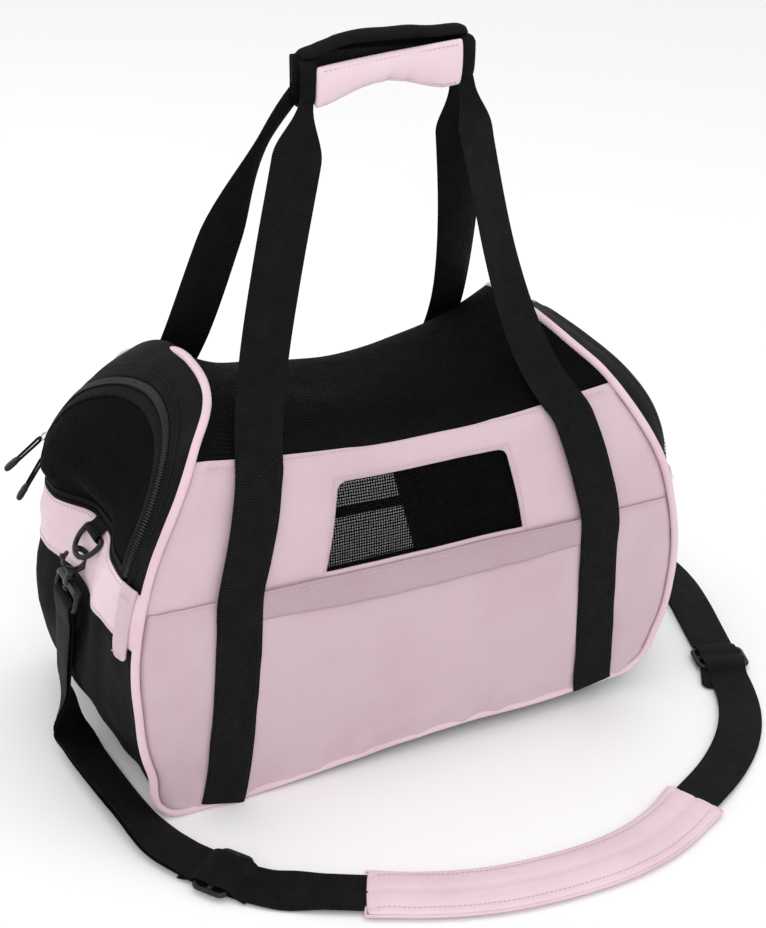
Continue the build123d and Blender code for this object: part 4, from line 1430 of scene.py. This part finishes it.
def block(name, middle, along, across, length, width, height, material,
          power=4.0, taper=0.0, steps=14, sides=24):
    """A softened block, superelliptic along and across. taper narrows its far end."""
    along, across = along.normalized(), across.normalized()
    normal = along.cross(across)
    rows = []
    for i in range(steps + 1):
        turn = math.pi * i / steps
        at = -bulge(math.cos(turn), 2 / power)
        size = max(math.sin(turn), 0.02) ** (2 / power) * (1 - taper * (at + 1) / 2)
        row = []
        for angle in full_turn(sides):
            u = bulge(math.cos(angle), 2 / power) * width / 2
            v = bulge(math.sin(angle), 2 / power) * height / 2
            row.append(middle + along * (at * length / 2) + (across * u + normal * v) * size)
        rows.append(row)
    return lofted(name, rows, material)


def slider(hand, name, up):
    normal, rise, aside = door_normal(hand), Vector((-hand * SIN, 0, COS)), REARWARD
    base = door_point(hand, SLIDER_Y, up)
    plates = [
        block("plate", base + normal * 0.0022, rise, aside, 0.0130, 0.0080, 0.0026, METAL, taper=-0.18),
        block("rib", base + normal * 0.0037, rise, aside, 0.0100, 0.0030, 0.0022, METAL),
    ]
    turns = spaced(0, math.pi, 16)
    arch = [base + normal * (0.0040 + 0.0034 * math.sin(t)) + rise * (0.0044 * math.cos(t)) for t in turns]
    plates.append(tube("bail", arch, 0.0008, METAL, sides=10, start=(0, 1, 0), flat=1.5))
    piece = joined(ENDS[hand] + name + "_zip_slider", plates)
    assign(piece, ENDS[hand] + name + "_slider", "zip_metal", ENDS[hand] + name + "_slider")


def pull(hand, name, up, outward, rearward):
    """A small ring and a loop of cord that ends in a moulded sleeve."""
    top = door_point(hand, SLIDER_Y, up, PULL_LIFT - 0.0016)
    lean, aside = math.radians(outward), math.radians(rearward)
    down = Vector((hand * math.sin(lean), math.sin(aside), -math.cos(lean))).normalized()
    across = (REARWARD - down * down.y).normalized()
    face = across.cross(down)
    turns = full_turn(24)
    circle = [top + down * (0.0038 - 0.0036 * math.cos(t)) + across * (0.0036 * math.sin(t)) for t in turns]
    parts = [tube("ring", circle, 0.0008, METAL, sides=10, closed=True, start=face)]
    loop = []
    for turn in full_turn(40):
        long = bulge(math.cos(turn), 0.25)
        slack = 0.0012 * math.sin(turn) * math.cos(turn)
        place = top + down * (0.0262 - 0.0195 * long) + across * (0.0024 * math.sin(turn) + slack)
        loop.append(place + face * 0.0006 * long)
    parts.append(tube("cord", loop, 0.00115, WEBBING, sides=10, closed=True, start=face))
    sleeve = top + down * 0.0410
    parts.append(block("sleeve", sleeve, down, across, 0.0170, 0.0064, 0.0046, PLASTIC,
                       power=3.0, taper=-0.10))
    for k in range(3):
        rib = top + down * (0.0380 + 0.0032 * k)
        parts.append(block("grip_rib", rib, across, down, 0.0068, 0.0012, 0.0052, PLASTIC,
                           power=3.0, steps=8, sides=12))
    piece = joined(ENDS[hand] + name + "_zip_pull", parts)
    assign(piece, ENDS[hand] + name + "_pull", "zip_pull", ENDS[hand] + name + "_pull")


for hand in (-1, 1):
    for name, (up, outward, rearward) in SLIDERS.items():
        slider(hand, name, up)
        pull(hand, name, up, outward, rearward)


# ---------------------------------------------------------------- D-ring tab, snap hook and swivel eye
HOOK_LEAN = math.radians(15)
WIRE_X, WIRE_Z = 0.251045, 0.187023
WIRE_TO_HOLE = 0.0043
TAB_X, TAB_Z = 0.2345, 0.2030
BAR_RADIUS = 0.0042  # from the middle of a bar to the middle of the webbing round it


def hook_at(hand, inward, up, aside=0.0):
    """A point near the hook, from where it hangs on the ring's wire."""
    cos, sin = math.cos(HOOK_LEAN), math.sin(HOOK_LEAN)
    x = WIRE_X - inward * cos - up * sin
    return Vector((hand * x, RING_Y + aside, WIRE_Z - inward * sin + up * cos))


def arc_profile(radius, degrees):
    """(across, up) points round an arc, at these angles."""
    turns = [math.radians(a) for a in degrees]
    return [(radius * math.cos(t), radius * math.sin(t)) for t in turns]


def hook_arc(hand, radius, start, end, steps=30):
    turns = [math.radians(a) for a in spaced(start, end, steps)]
    return [hook_at(hand, radius * math.cos(t), radius * math.sin(t) - WIRE_TO_HOLE) for t in turns]


def ring_tab(hand):
    """A loop of webbing round the ring's bar, both ends sewn down on the end wall."""
    profile = [(-0.0110, 0.0100), (-0.0060, 0.0085)]
    profile += arc_profile(BAR_RADIUS, range(110, -111, -10))
    profile += [(-0.0060, -0.0055), (-0.0105, -0.0060)]
    points = [Vector((hand * (TAB_X + x), RING_Y, TAB_Z + z)) for x, z in profile]
    points = relaxed(resample(points, 0.0012), 3)
    piece = band(ENDS[hand] + "ring_loop", points, [REARWARD] * len(points), 0.0240, 0.0015, WEBBING)
    assign(piece, "bag", "webbing", ENDS[hand] + "ring_tab")


def snap_hook(hand):
    body = hook_arc(hand, 0.00975, 114, -138, 46)
    girth = [0.0023 * (0.45 + 0.55 * math.sin(math.pi / 2 * min(k, 46 - k, 5) / 5)) for k in range(47)]
    parts = [tube("ring", body, girth, PLASTIC, sides=18, start=(0, 1, 0), flat=1.45)]
    neck = [hook_at(hand, 0, -WIRE_TO_HOLE - down) for down in spaced(0.0090, 0.0272, 12)]
    waist = [0.0046 - 0.0014 * smooth(k, 2, 7) for k in range(13)]
    parts.append(tube("neck", neck, waist, PLASTIC, sides=20, start=(0, 1, 0)))
    down = (neck[-1] - neck[0]).normalized()
    for part, at, wide in (("head", -0.0306, 0.0090), ("collar", -0.0200, 0.0098)):
        middle = hook_at(hand, 0, at)
        parts.append(block(part, middle, down, REARWARD, 0.0030, wide, wide, PLASTIC, power=2.6))
    piece = joined(ENDS[hand] + "snap_hook_body", parts)
    assign(piece, ENDS[hand] + "hook", "hardware", ENDS[hand] + "snap_hook")

    lever = hook_arc(hand, 0.0100, 137, 216, 20)
    slim = [0.0015 * (0.55 + 0.45 * math.sin(math.pi / 2 * min(1.0, min(k, 20 - k) / 3))) for k in range(21)]
    parts = [tube("lever", lever, slim, PLASTIC, sides=14, start=(0, 1, 0), flat=1.8)]
    inner, middle, outer = (hook_arc(hand, radius, 168, 168, 1)[0] for radius in (0.0100, 0.0119, 0.0130))
    out = (outer - inner).normalized()
    parts.append(block("stud", middle, out, REARWARD, 0.0034, 0.0044, 0.0040, PLASTIC))
    piece = joined(ENDS[hand] + "hook_gate_lever", parts)
    assign(piece, ENDS[hand] + "gate", "hardware", ENDS[hand] + "hook_gate")


def rounded_loop(half_wide, low, high, corner, steps=7):
    """(aside, up) round a rectangle with round corners."""
    places = []
    for side, end, start in ((1, high, 90), (1, low, 0), (-1, low, -90), (-1, high, -180)):
        middle = (side * (half_wide - corner), end - math.copysign(corner, end - (low + high) / 2))
        for k in range(steps + 1):
            turn = math.radians(start - 90 * k / steps)
            places.append((middle[0] + corner * math.cos(turn), middle[1] + corner * math.sin(turn)))
    full = []
    for index, place in enumerate(places):
        after = places[(index + 1) % len(places)]
        gap = math.hypot(after[0] - place[0], after[1] - place[1])
        extra = max(1, int(gap / 0.002))
        for share in spaced(0, 1, extra)[:-1]:
            full.append((mix(place[0], after[0], share), mix(place[1], after[1], share)))
    return full


def swivel_eye(hand):
    loop = rounded_loop(0.02275, -0.04075, -0.02565, 0.0042)
    points = [hook_at(hand, 0, up, aside) for aside, up in loop]
    girth = [0.0022 + 0.0009 * smooth(up, -0.0300, -0.0262) for aside, up in loop]
    inward = (hook_at(hand, 1, 0) - hook_at(hand, 0, 0)).normalized()
    parts = [tube("frame", points, girth, PLASTIC, sides=16, closed=True, start=inward, flat=1.25)]
    down = (hook_at(hand, 0, -1) - hook_at(hand, 0, 0)).normalized()
    middle = hook_at(hand, 0, -0.0256)
    parts.append(block("boss", middle, down, REARWARD, 0.0070, 0.0130, 0.0100, PLASTIC, power=3.0))
    piece = joined(ENDS[hand] + "swivel_loop", parts)
    assign(piece, ENDS[hand] + "ring", "hardware", ENDS[hand] + "swivel_eye")

    # The strap's webbing turns round the eye's lower bar.
    profile = arc_profile(BAR_RADIUS, range(-10, 191, 10))
    profile = [(0.0030, -0.0180), (0.0040, -0.0090), *profile, (-0.0040, -0.0090), (-0.0030, -0.0180)]
    middle = hook_at(hand, 0, -0.04075)
    points = resample([middle + Vector((x, 0, z)) for x, z in profile], 0.0015)
    wrap = band(ENDS[hand] + "eye_wrap", points, [REARWARD] * len(points), WEB, WEB_THICK, WEBBING)
    assign(wrap, ENDS[hand] + "ring", "webbing")


for hand in (-1, 1):
    ring_tab(hand)
    snap_hook(hand)
    swivel_eye(hand)
    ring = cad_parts[ENDS[hand] + "d_ring"]
    ring.data.materials.clear()
    ring.data.materials.append(PLASTIC)
    ring.data.polygons.foreach_set("material_index", [0] * len(ring.data.polygons))


# ---------------------------------------------------------------- strap adjusters, tail and pad
def adjuster(name, node, line_start, line_next):
    """A tri-glide: a round-edged frame, a ribbed middle bar and the webbing over it."""
    centre = Vector((*line_start, 0))
    along = (Vector((*line_next, 0)) - centre).normalized()
    across = Vector((-along.y, along.x, 0))
    loop = rounded_loop(0.0230, -0.0130, 0.0130, 0.0048)
    points = [centre + across * aside + along * up + Vector((0, 0, 0.0052)) for aside, up in loop]
    parts = [tube("frame", points, 0.0023, PLASTIC, sides=14, closed=True, start=(0, 0, 1), flat=0.85)]
    bar = [centre + across * aside + Vector((0, 0, 0.0054)) for aside in spaced(-0.0225, 0.0225, 90)]
    ribs = [0.0021 + 0.0003 * math.sin(k * 1.4) for k in range(91)]
    parts.append(tube("bar", bar, ribs, PLASTIC, sides=12, start=(0, 0, 1)))
    piece = joined(name + "_frame", parts)
    assign(piece, "bag", "hardware", node)
    profile = [(-0.0300, 0.0020), (-0.0220, 0.0026), (-0.0165, 0.0086), (-0.0080, 0.0092), (0.0000, 0.0078),
               (0.0080, 0.0094), (0.0165, 0.0088), (0.0220, 0.0028), (0.0300, 0.0020)]
    points = resample(line_of([centre + along * x + Vector((0, 0, z)) for x, z in profile]), 0.0014)
    over = band(name + "_fold", points, [across] * len(points), WEB - 0.0006, WEB_THICK, WEBBING)
    assign(over, "bag", "webbing")
    return piece, over


left_glide, left_over = adjuster("left_glide", "left_adjuster", MAIN_ROUTE[0][:2], MAIN_ROUTE[1][:2])
right_glide, right_over = adjuster("right_glide", "right_adjuster", MAIN_ROUTE[-1][:2], RIGHT_ROUTE[-2][:2])


def strap_tail():
    """The strap's free end, which lies under the strap beyond the right adjuster."""
    start = Vector(MAIN_ROUTE[-1])
    along = (Vector(MAIN_ROUTE[-2]) - start).normalized()
    along.rotate(Quaternion((0, 0, 1), math.radians(-14)))
    start.z = 0.0026
    points = [start + along * far + UP * (0.0012 * math.sin(k / 5))
              for k, far in enumerate(spaced(0.004, 0.046, 20))]
    across = Vector((-along.y, along.x, 0))
    widths = [WEB - 0.008 * smooth(k, 18, 20) for k in range(21)]
    piece = band("strap_tail", points, [across] * 21, widths, WEB_THICK, WEBBING)
    assign(piece, "bag", "webbing")
    return piece


tail = strap_tail()


def puffed(obj, cap, voxel=0.0045, pressure=4.0, frames=20):
    """Fills a closed form by cloth simulation, and lets no point move further than cap."""
    even = obj.modifiers.new("even", "REMESH")
    even.mode = "VOXEL"
    even.voxel_size = voxel
    apply(obj)
    before = np.array([tuple(v.co) for v in obj.data.vertices])
    cloth = obj.modifiers.new("cloth", "CLOTH")
    cloth.settings.quality = 5
    cloth.settings.use_pressure = True
    cloth.settings.uniform_pressure_force = pressure
    cloth.settings.effector_weights.gravity = 0
    cloth.point_cache.frame_start = 1
    cloth.point_cache.frame_end = frames
    for number in range(1, frames + 1):
        scene.frame_set(number)
    apply(obj)
    scene.frame_set(1)
    after = np.array([tuple(v.co) for v in obj.data.vertices])
    if after.shape == before.shape:
        move = after - before
        size = np.linalg.norm(move, axis=1, keepdims=True)
        after = before + move * np.minimum(1.0, cap / np.maximum(size, 1e-9))
    obj.data.vertices.foreach_set("co", after.astype(np.float32).ravel())
    obj.data.polygons.foreach_set("use_smooth", [True] * len(obj.data.polygons))
    return rounded(obj)


PAD_WIDE = 0.0475
PAD_THICK = 0.0086
PAD_Z = 0.0050  # height of the pad's middle
SEAM_ASIDE = 0.0176


def nearest_index(line, place):
    return min(range(len(line)), key=lambda k: (line[k] - Vector(place)).length)


def shoulder_pad():
    first, last = nearest_index(main_line, MAIN_ROUTE[3]), nearest_index(main_line, MAIN_ROUTE[9])
    line = main_line[first : last + 1]
    line = [Vector((p.x, p.y, PAD_Z)) for p in line]
    frames = list(zip(line, tangents(line)))
    steps = len(line) - 1

    def half_wide(share):
        return PAD_WIDE * (1 + 0.06 * smooth(share, 0.90, 1.0) + 0.03 * (1 - smooth(share, 0.0, 0.08))) / 2

    rows = []
    for index, (point, tangent) in enumerate(frames):
        across = Vector((-tangent.y, tangent.x, 0))
        share = index / steps
        thin = 0.40 + 0.60 * smooth(min(share, 1 - share), 0.0, 0.05)
        row = []
        for turn in full_turn(28):
            aside = bulge(math.cos(turn), 0.8) * half_wide(share) * 0.97
            rise = bulge(math.sin(turn), 0.9) * PAD_THICK / 2 * thin
            row.append(point + across * aside + UP * rise)
        rows.append(row)
    pad = rounded(lofted("pad", rows, PINK_SOFT))
    # The seam along its middle and the one near its right end draw the top in.
    seam_end = 0.026
    for vertex in pad.data.vertices:
        place = Vector((vertex.co.x, vertex.co.y, PAD_Z))
        index = min(range(len(line)), key=lambda k: (line[k] - place).length_squared)
        point, tangent = frames[index]
        aside = (place - point).dot(Vector((-tangent.y, tangent.x, 0)))
        along = (steps - index) * STRAP_STEP - (place - point).dot(tangent)
        groove = 0.0014 * hump(aside, 0.0016) + 0.0011 * hump(along - seam_end, 0.0018)
        groove += 0.0007 * hump(abs(aside) - 0.0178, 0.0024)
        if vertex.co.z > 0.0055:
            vertex.co.z -= groove
        vertex.co.z += 0.0007 * ripple(place.x, place.y, 0, 45, 8.0)
        vertex.co.z = max(vertex.co.z, 0.0004)
    pad.name = "shoulder_pad_cover"
    assign(pad, "bag", "pad_pink", "shoulder_pad")

    # A welt runs round the pad's edge.
    left, right = [], []
    for index, (point, tangent) in enumerate(frames):
        across = Vector((-tangent.y, tangent.x, 0))
        wide = half_wide(index / steps) - 0.0004
        left.append(point + across * wide - UP * 0.0012)
        right.append(point - across * wide - UP * 0.0012)
    loop = resample([*left, *right[::-1], left[0]], 0.004)[:-1]
    welt = tube("pad_welt", loop, 0.0013, PINK_PIPE, sides=10, closed=True)
    assign(welt, "bag", "pad_pink")
    surface = BVHTree.FromPolygons([v.co for v in pad.data.vertices], [f.vertices for f in pad.data.polygons])
    for offset in (-SEAM_ASIDE, SEAM_ASIDE):
        seam = [p + Vector((-t.y, t.x, 0)) * offset for p, t in frames[2:-2]]
        for point in seam:
            place = surface.ray_cast(Vector((point.x, point.y, 0.05)), -UP)[0]
            point.z = place.z + 0.0002
        pink_seams.sew(seam, UP, pitch=0.0038, long=0.0028)
    return pad, welt


pad_cover, pad_welt = shoulder_pad()


# ---------------------------------------------------------------- free handle webbing
LEG_SHIFT = 0.069
LEG_GAP = 0.0080


def bezier(a, b, c, d, steps):
    found = []
    for k in range(steps + 1):
        t = k / steps
        found.append(a * (1 - t) ** 3 + b * (3 * t * (1 - t) ** 2) + c * (3 * t * t * (1 - t)) + d * t**3)
    return found


def handle_legs(side):
    parts = []
    for hand in (-1, 1):
        foot, below = (on_wall(side, hand * strap_x(z), z, WEB_LIFT[side]) for z in (FOOT_Z, FOOT_Z - 0.006))
        head = Vector((GRIP_X + hand * (LEG_SHIFT - 0.002), side * LEG_GAP, GRIP_LOW + 0.014))
        rise = (foot - below).normalized()
        span = (head - foot).length
        splay = 0.62 if hand < 0 and side > 0 else 0.24
        lean = Vector((-hand * splay, -side * 0.7 * splay, 1)).normalized()
        curve = bezier(foot, foot + rise * (0.30 * span), head - lean * (0.35 * span), head, 60)
        line = resample(curve, 0.0045)
        count = len(line) - 1
        start = rise.cross(wall_normal(side, foot.x, FOOT_Z - 0.004))
        start = start if start.x > 0 else -start
        across, widths = [], []
        for index, point in enumerate(line):
            share = index / count
            turn = smooth(share, 0.15, 0.85)
            facing = start.lerp(Vector((1, -0.28 * side * hand, 0.0)), turn).normalized()
            twist = 0.14 * hand * math.sin(math.pi * share) + 0.5 * hand * side * smooth(share, 0.80, 1.0)
            facing.rotate(Quaternion((0, 0, 1), twist))
            across.append(facing)
            neck = smooth(share, 0.50, 0.84) if hand < 0 and side > 0 else smooth(share, 0.82, 0.975)
            widths.append(WEB * mix(1.0, 0.34, neck))
            point += Vector((0.0012, 0.0016, 0)) * noise.noise(Vector((share * 4, hand * 3.0, side * 5.0)))
        parts.append(band("leg", line, across, widths, WEB_THICK, WEBBING, crown=0.0012 * side))
    piece = joined(NAMES[side] + "_handle_legs", parts)
    assign(piece, "bag", "webbing", NAMES[side] + "_handle_webbing")
    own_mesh(piece)


for side in (-1, 1):
    handle_legs(side)


# ---------------------------------------------------------------- grip
GRIP_CORE_HALF = 0.078


def grip_core():
    """Both loops of webbing run side by side through the grip."""
    parts = []
    xs = spaced(GRIP_X - GRIP_CORE_HALF, GRIP_X + GRIP_CORE_HALF, 50)
    for y in (-0.0016, 0.0016):
        line = [Vector((x, y, GRIP_LOW + 0.030 + 0.001 * math.sin(k / 9))) for k, x in enumerate(xs)]
        parts.append(band("core", line, [UP] * 51, 0.58 * WEB, WEB_THICK, WEBBING))
    piece = joined("grip_core", parts)
    assign(piece, "grip", "webbing", "grip_webbing")


PAD_LEFT, PAD_RIGHT = -0.064, 0.083
FLAP_LEFT, FLAP_RIGHT = -0.051, 0.073


def grip_back():
    """The black wrap: up the rear, over the top and a little way down the front."""
    spine = [(0.0086, GRIP_LOW + 0.003), (0.0092, GRIP_LOW + 0.018), (0.0092, GRIP_LOW + 0.036)]
    spine += [(0.0080, GRIP_HIGH - 0.010), (0.0020, GRIP_HIGH - 0.0052)]
    spine += [(-0.0040, GRIP_HIGH - 0.0062), (-0.0068, GRIP_HIGH - 0.0110)]
    centres = resample(line_of([(0, y, z) for y, z in spine]), 0.0030)
    rows = []
    for share in spaced(0, 1, 64):
        x = mix(PAD_LEFT, PAD_RIGHT, share)
        tip = min(share, 1 - share) * (PAD_RIGHT - PAD_LEFT)
        shrink = math.sqrt(max(1 - (1 - min(tip / 0.010, 1.0)) ** 2, 0.02))
        thick = 0.0068 * (0.55 + 0.45 * shrink)
        droop = 0.0085 * (1 - smooth(share, 0.0, 0.35)) + 0.0008 * noise.noise(Vector((share * 7, 0, 3)))
        middle = centres[len(centres) // 2 - 1]
        outer, inner = [], []
        foot = flap_edges(min(max(x, FLAP_LEFT), FLAP_RIGHT))[0] + 0.003
        for point, tangent in zip(centres, tangents(centres)):
            normal = Vector((0, tangent.z, -tangent.y))
            rise = (point.z - GRIP_LOW - 0.003) / (GRIP_HIGH - GRIP_LOW - 0.003)
            point = Vector((0, point.y, mix(foot, GRIP_HIGH, rise)))
            place = middle + (point - middle) * (0.62 + 0.38 * shrink)
            outer.append(Vector((x, place.y, place.z - droop)) + normal * (thick / 2))
            inner.append(Vector((x, place.y, place.z - droop)) - normal * (thick / 2))
        rows.append(outer + inner[::-1])
    wrap = puffed(lofted("wrap", rows, BLACK), 0.0016, voxel=0.0040)
    wrap.name = "grip_wrap"
    assign(wrap, "grip", "grip_black", "grip_back_pad")


def flap_edges(x):
    """The flap's lower and upper edge at x."""
    share = (x - FLAP_LEFT) / (FLAP_RIGHT - FLAP_LEFT)
    low = 0.5290 + 0.014 * math.sin(math.pi * min(share * 1.12, 1.0)) ** 1.4 + 0.008 * share**2
    return low, 0.5600 + 0.013 * share**0.8


def grip_flap():
    rows = []
    for share in spaced(0, 1, 66):
        x = mix(FLAP_LEFT, FLAP_RIGHT, share)
        low, high = flap_edges(x)
        tip = min(share, 1 - share) * (FLAP_RIGHT - FLAP_LEFT)
        full = 0.55 + 0.45 * smooth(tip, 0.0, 0.008)
        outer, inner = [], []
        for v in spaced(0, 1, 18):
            z = mix(low, high, v)
            swell = 0.0058 * math.sin(math.pi * min(max(v, 0.0), 1.0)) ** 0.6 * full
            crease = 0.0022 * sum(hump(x - at, 0.0022) for at in (0.010, 0.026)) * (1 - smooth(v, 0.0, 0.55))
            sag = 0.0010 * ripple(x, 0, z, 42, 5.0)
            outer.append(Vector((x, -0.0098 - swell + crease + sag, z)))
            back = -0.0062 + 0.0010 * math.sin(math.pi * v)
            inner.append(Vector((x, back, mix(low + 0.0008, high - 0.0008, v))))
        rows.append(outer + inner[::-1])
    flap = rounded(lofted("grip_flap_cover", rows, PINK_SOFT, sharp=70))
    assign(flap, "grip_flap", "grip_pink", "grip_front_flap")
    stitches = Thread()
    xs = spaced(FLAP_LEFT + 0.005, FLAP_RIGHT - 0.005, 40)
    for side, inset, tilt in ((1, -0.0034, 0.4), (0, 0.0034, -0.4)):
        line = [Vector((x, -0.0128, flap_edges(x)[side] + inset)) for x in xs]
        stitches.sew(line, Vector((0, -1, tilt)), pitch=0.0038, long=0.0028)
    edge = stitches.piece("grip_flap_stitches", PINK_THREAD, "grip_flap")


def grip_collars():
    """Black cuffs that gather the legs at both ends of the grip."""
    parts = []
    for middle, wide, height in ((-0.0560, 0.0150, 0.5480), (0.0790, 0.0120, 0.5560)):
        rows = []
        for share in spaced(0, 1, 12):
            x = middle + (share - 0.5) * wide
            row = []
            for turn in full_turn(36):
                u, v = bulge(math.cos(turn), 0.6), bulge(math.sin(turn), 0.6)
                puff = 0.0016 * math.sin(math.pi * share) ** 0.5
                puff += 0.0006 * noise.noise(Vector((u * 3, v * 3, share * 4)))
                row.append(Vector((x, u * (0.0095 + puff), height + v * (0.0165 + puff))))
            rows.append(row)
        parts.append(rounded(lofted("cuff", rows, BLACK, capped=False)))
    piece = joined("grip_cuffs", parts)
    assign(piece, "grip", "grip_black")


grip_core()
grip_back()
grip_flap()
grip_collars()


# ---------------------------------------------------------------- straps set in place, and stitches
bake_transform(strap_left)
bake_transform(strap_right)
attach(strap_main, "bag")
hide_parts("strap_left_floor", "strap_left_drop")
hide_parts("strap_front_left", "strap_front_right")
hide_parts("strap_right_floor", "strap_right_drop")
pink_stitches = pink_seams.piece("pink_stitches", PINK_THREAD, "bag")
black_stitches = black_seams.piece("black_stitches", BLACK_THREAD, "bag")
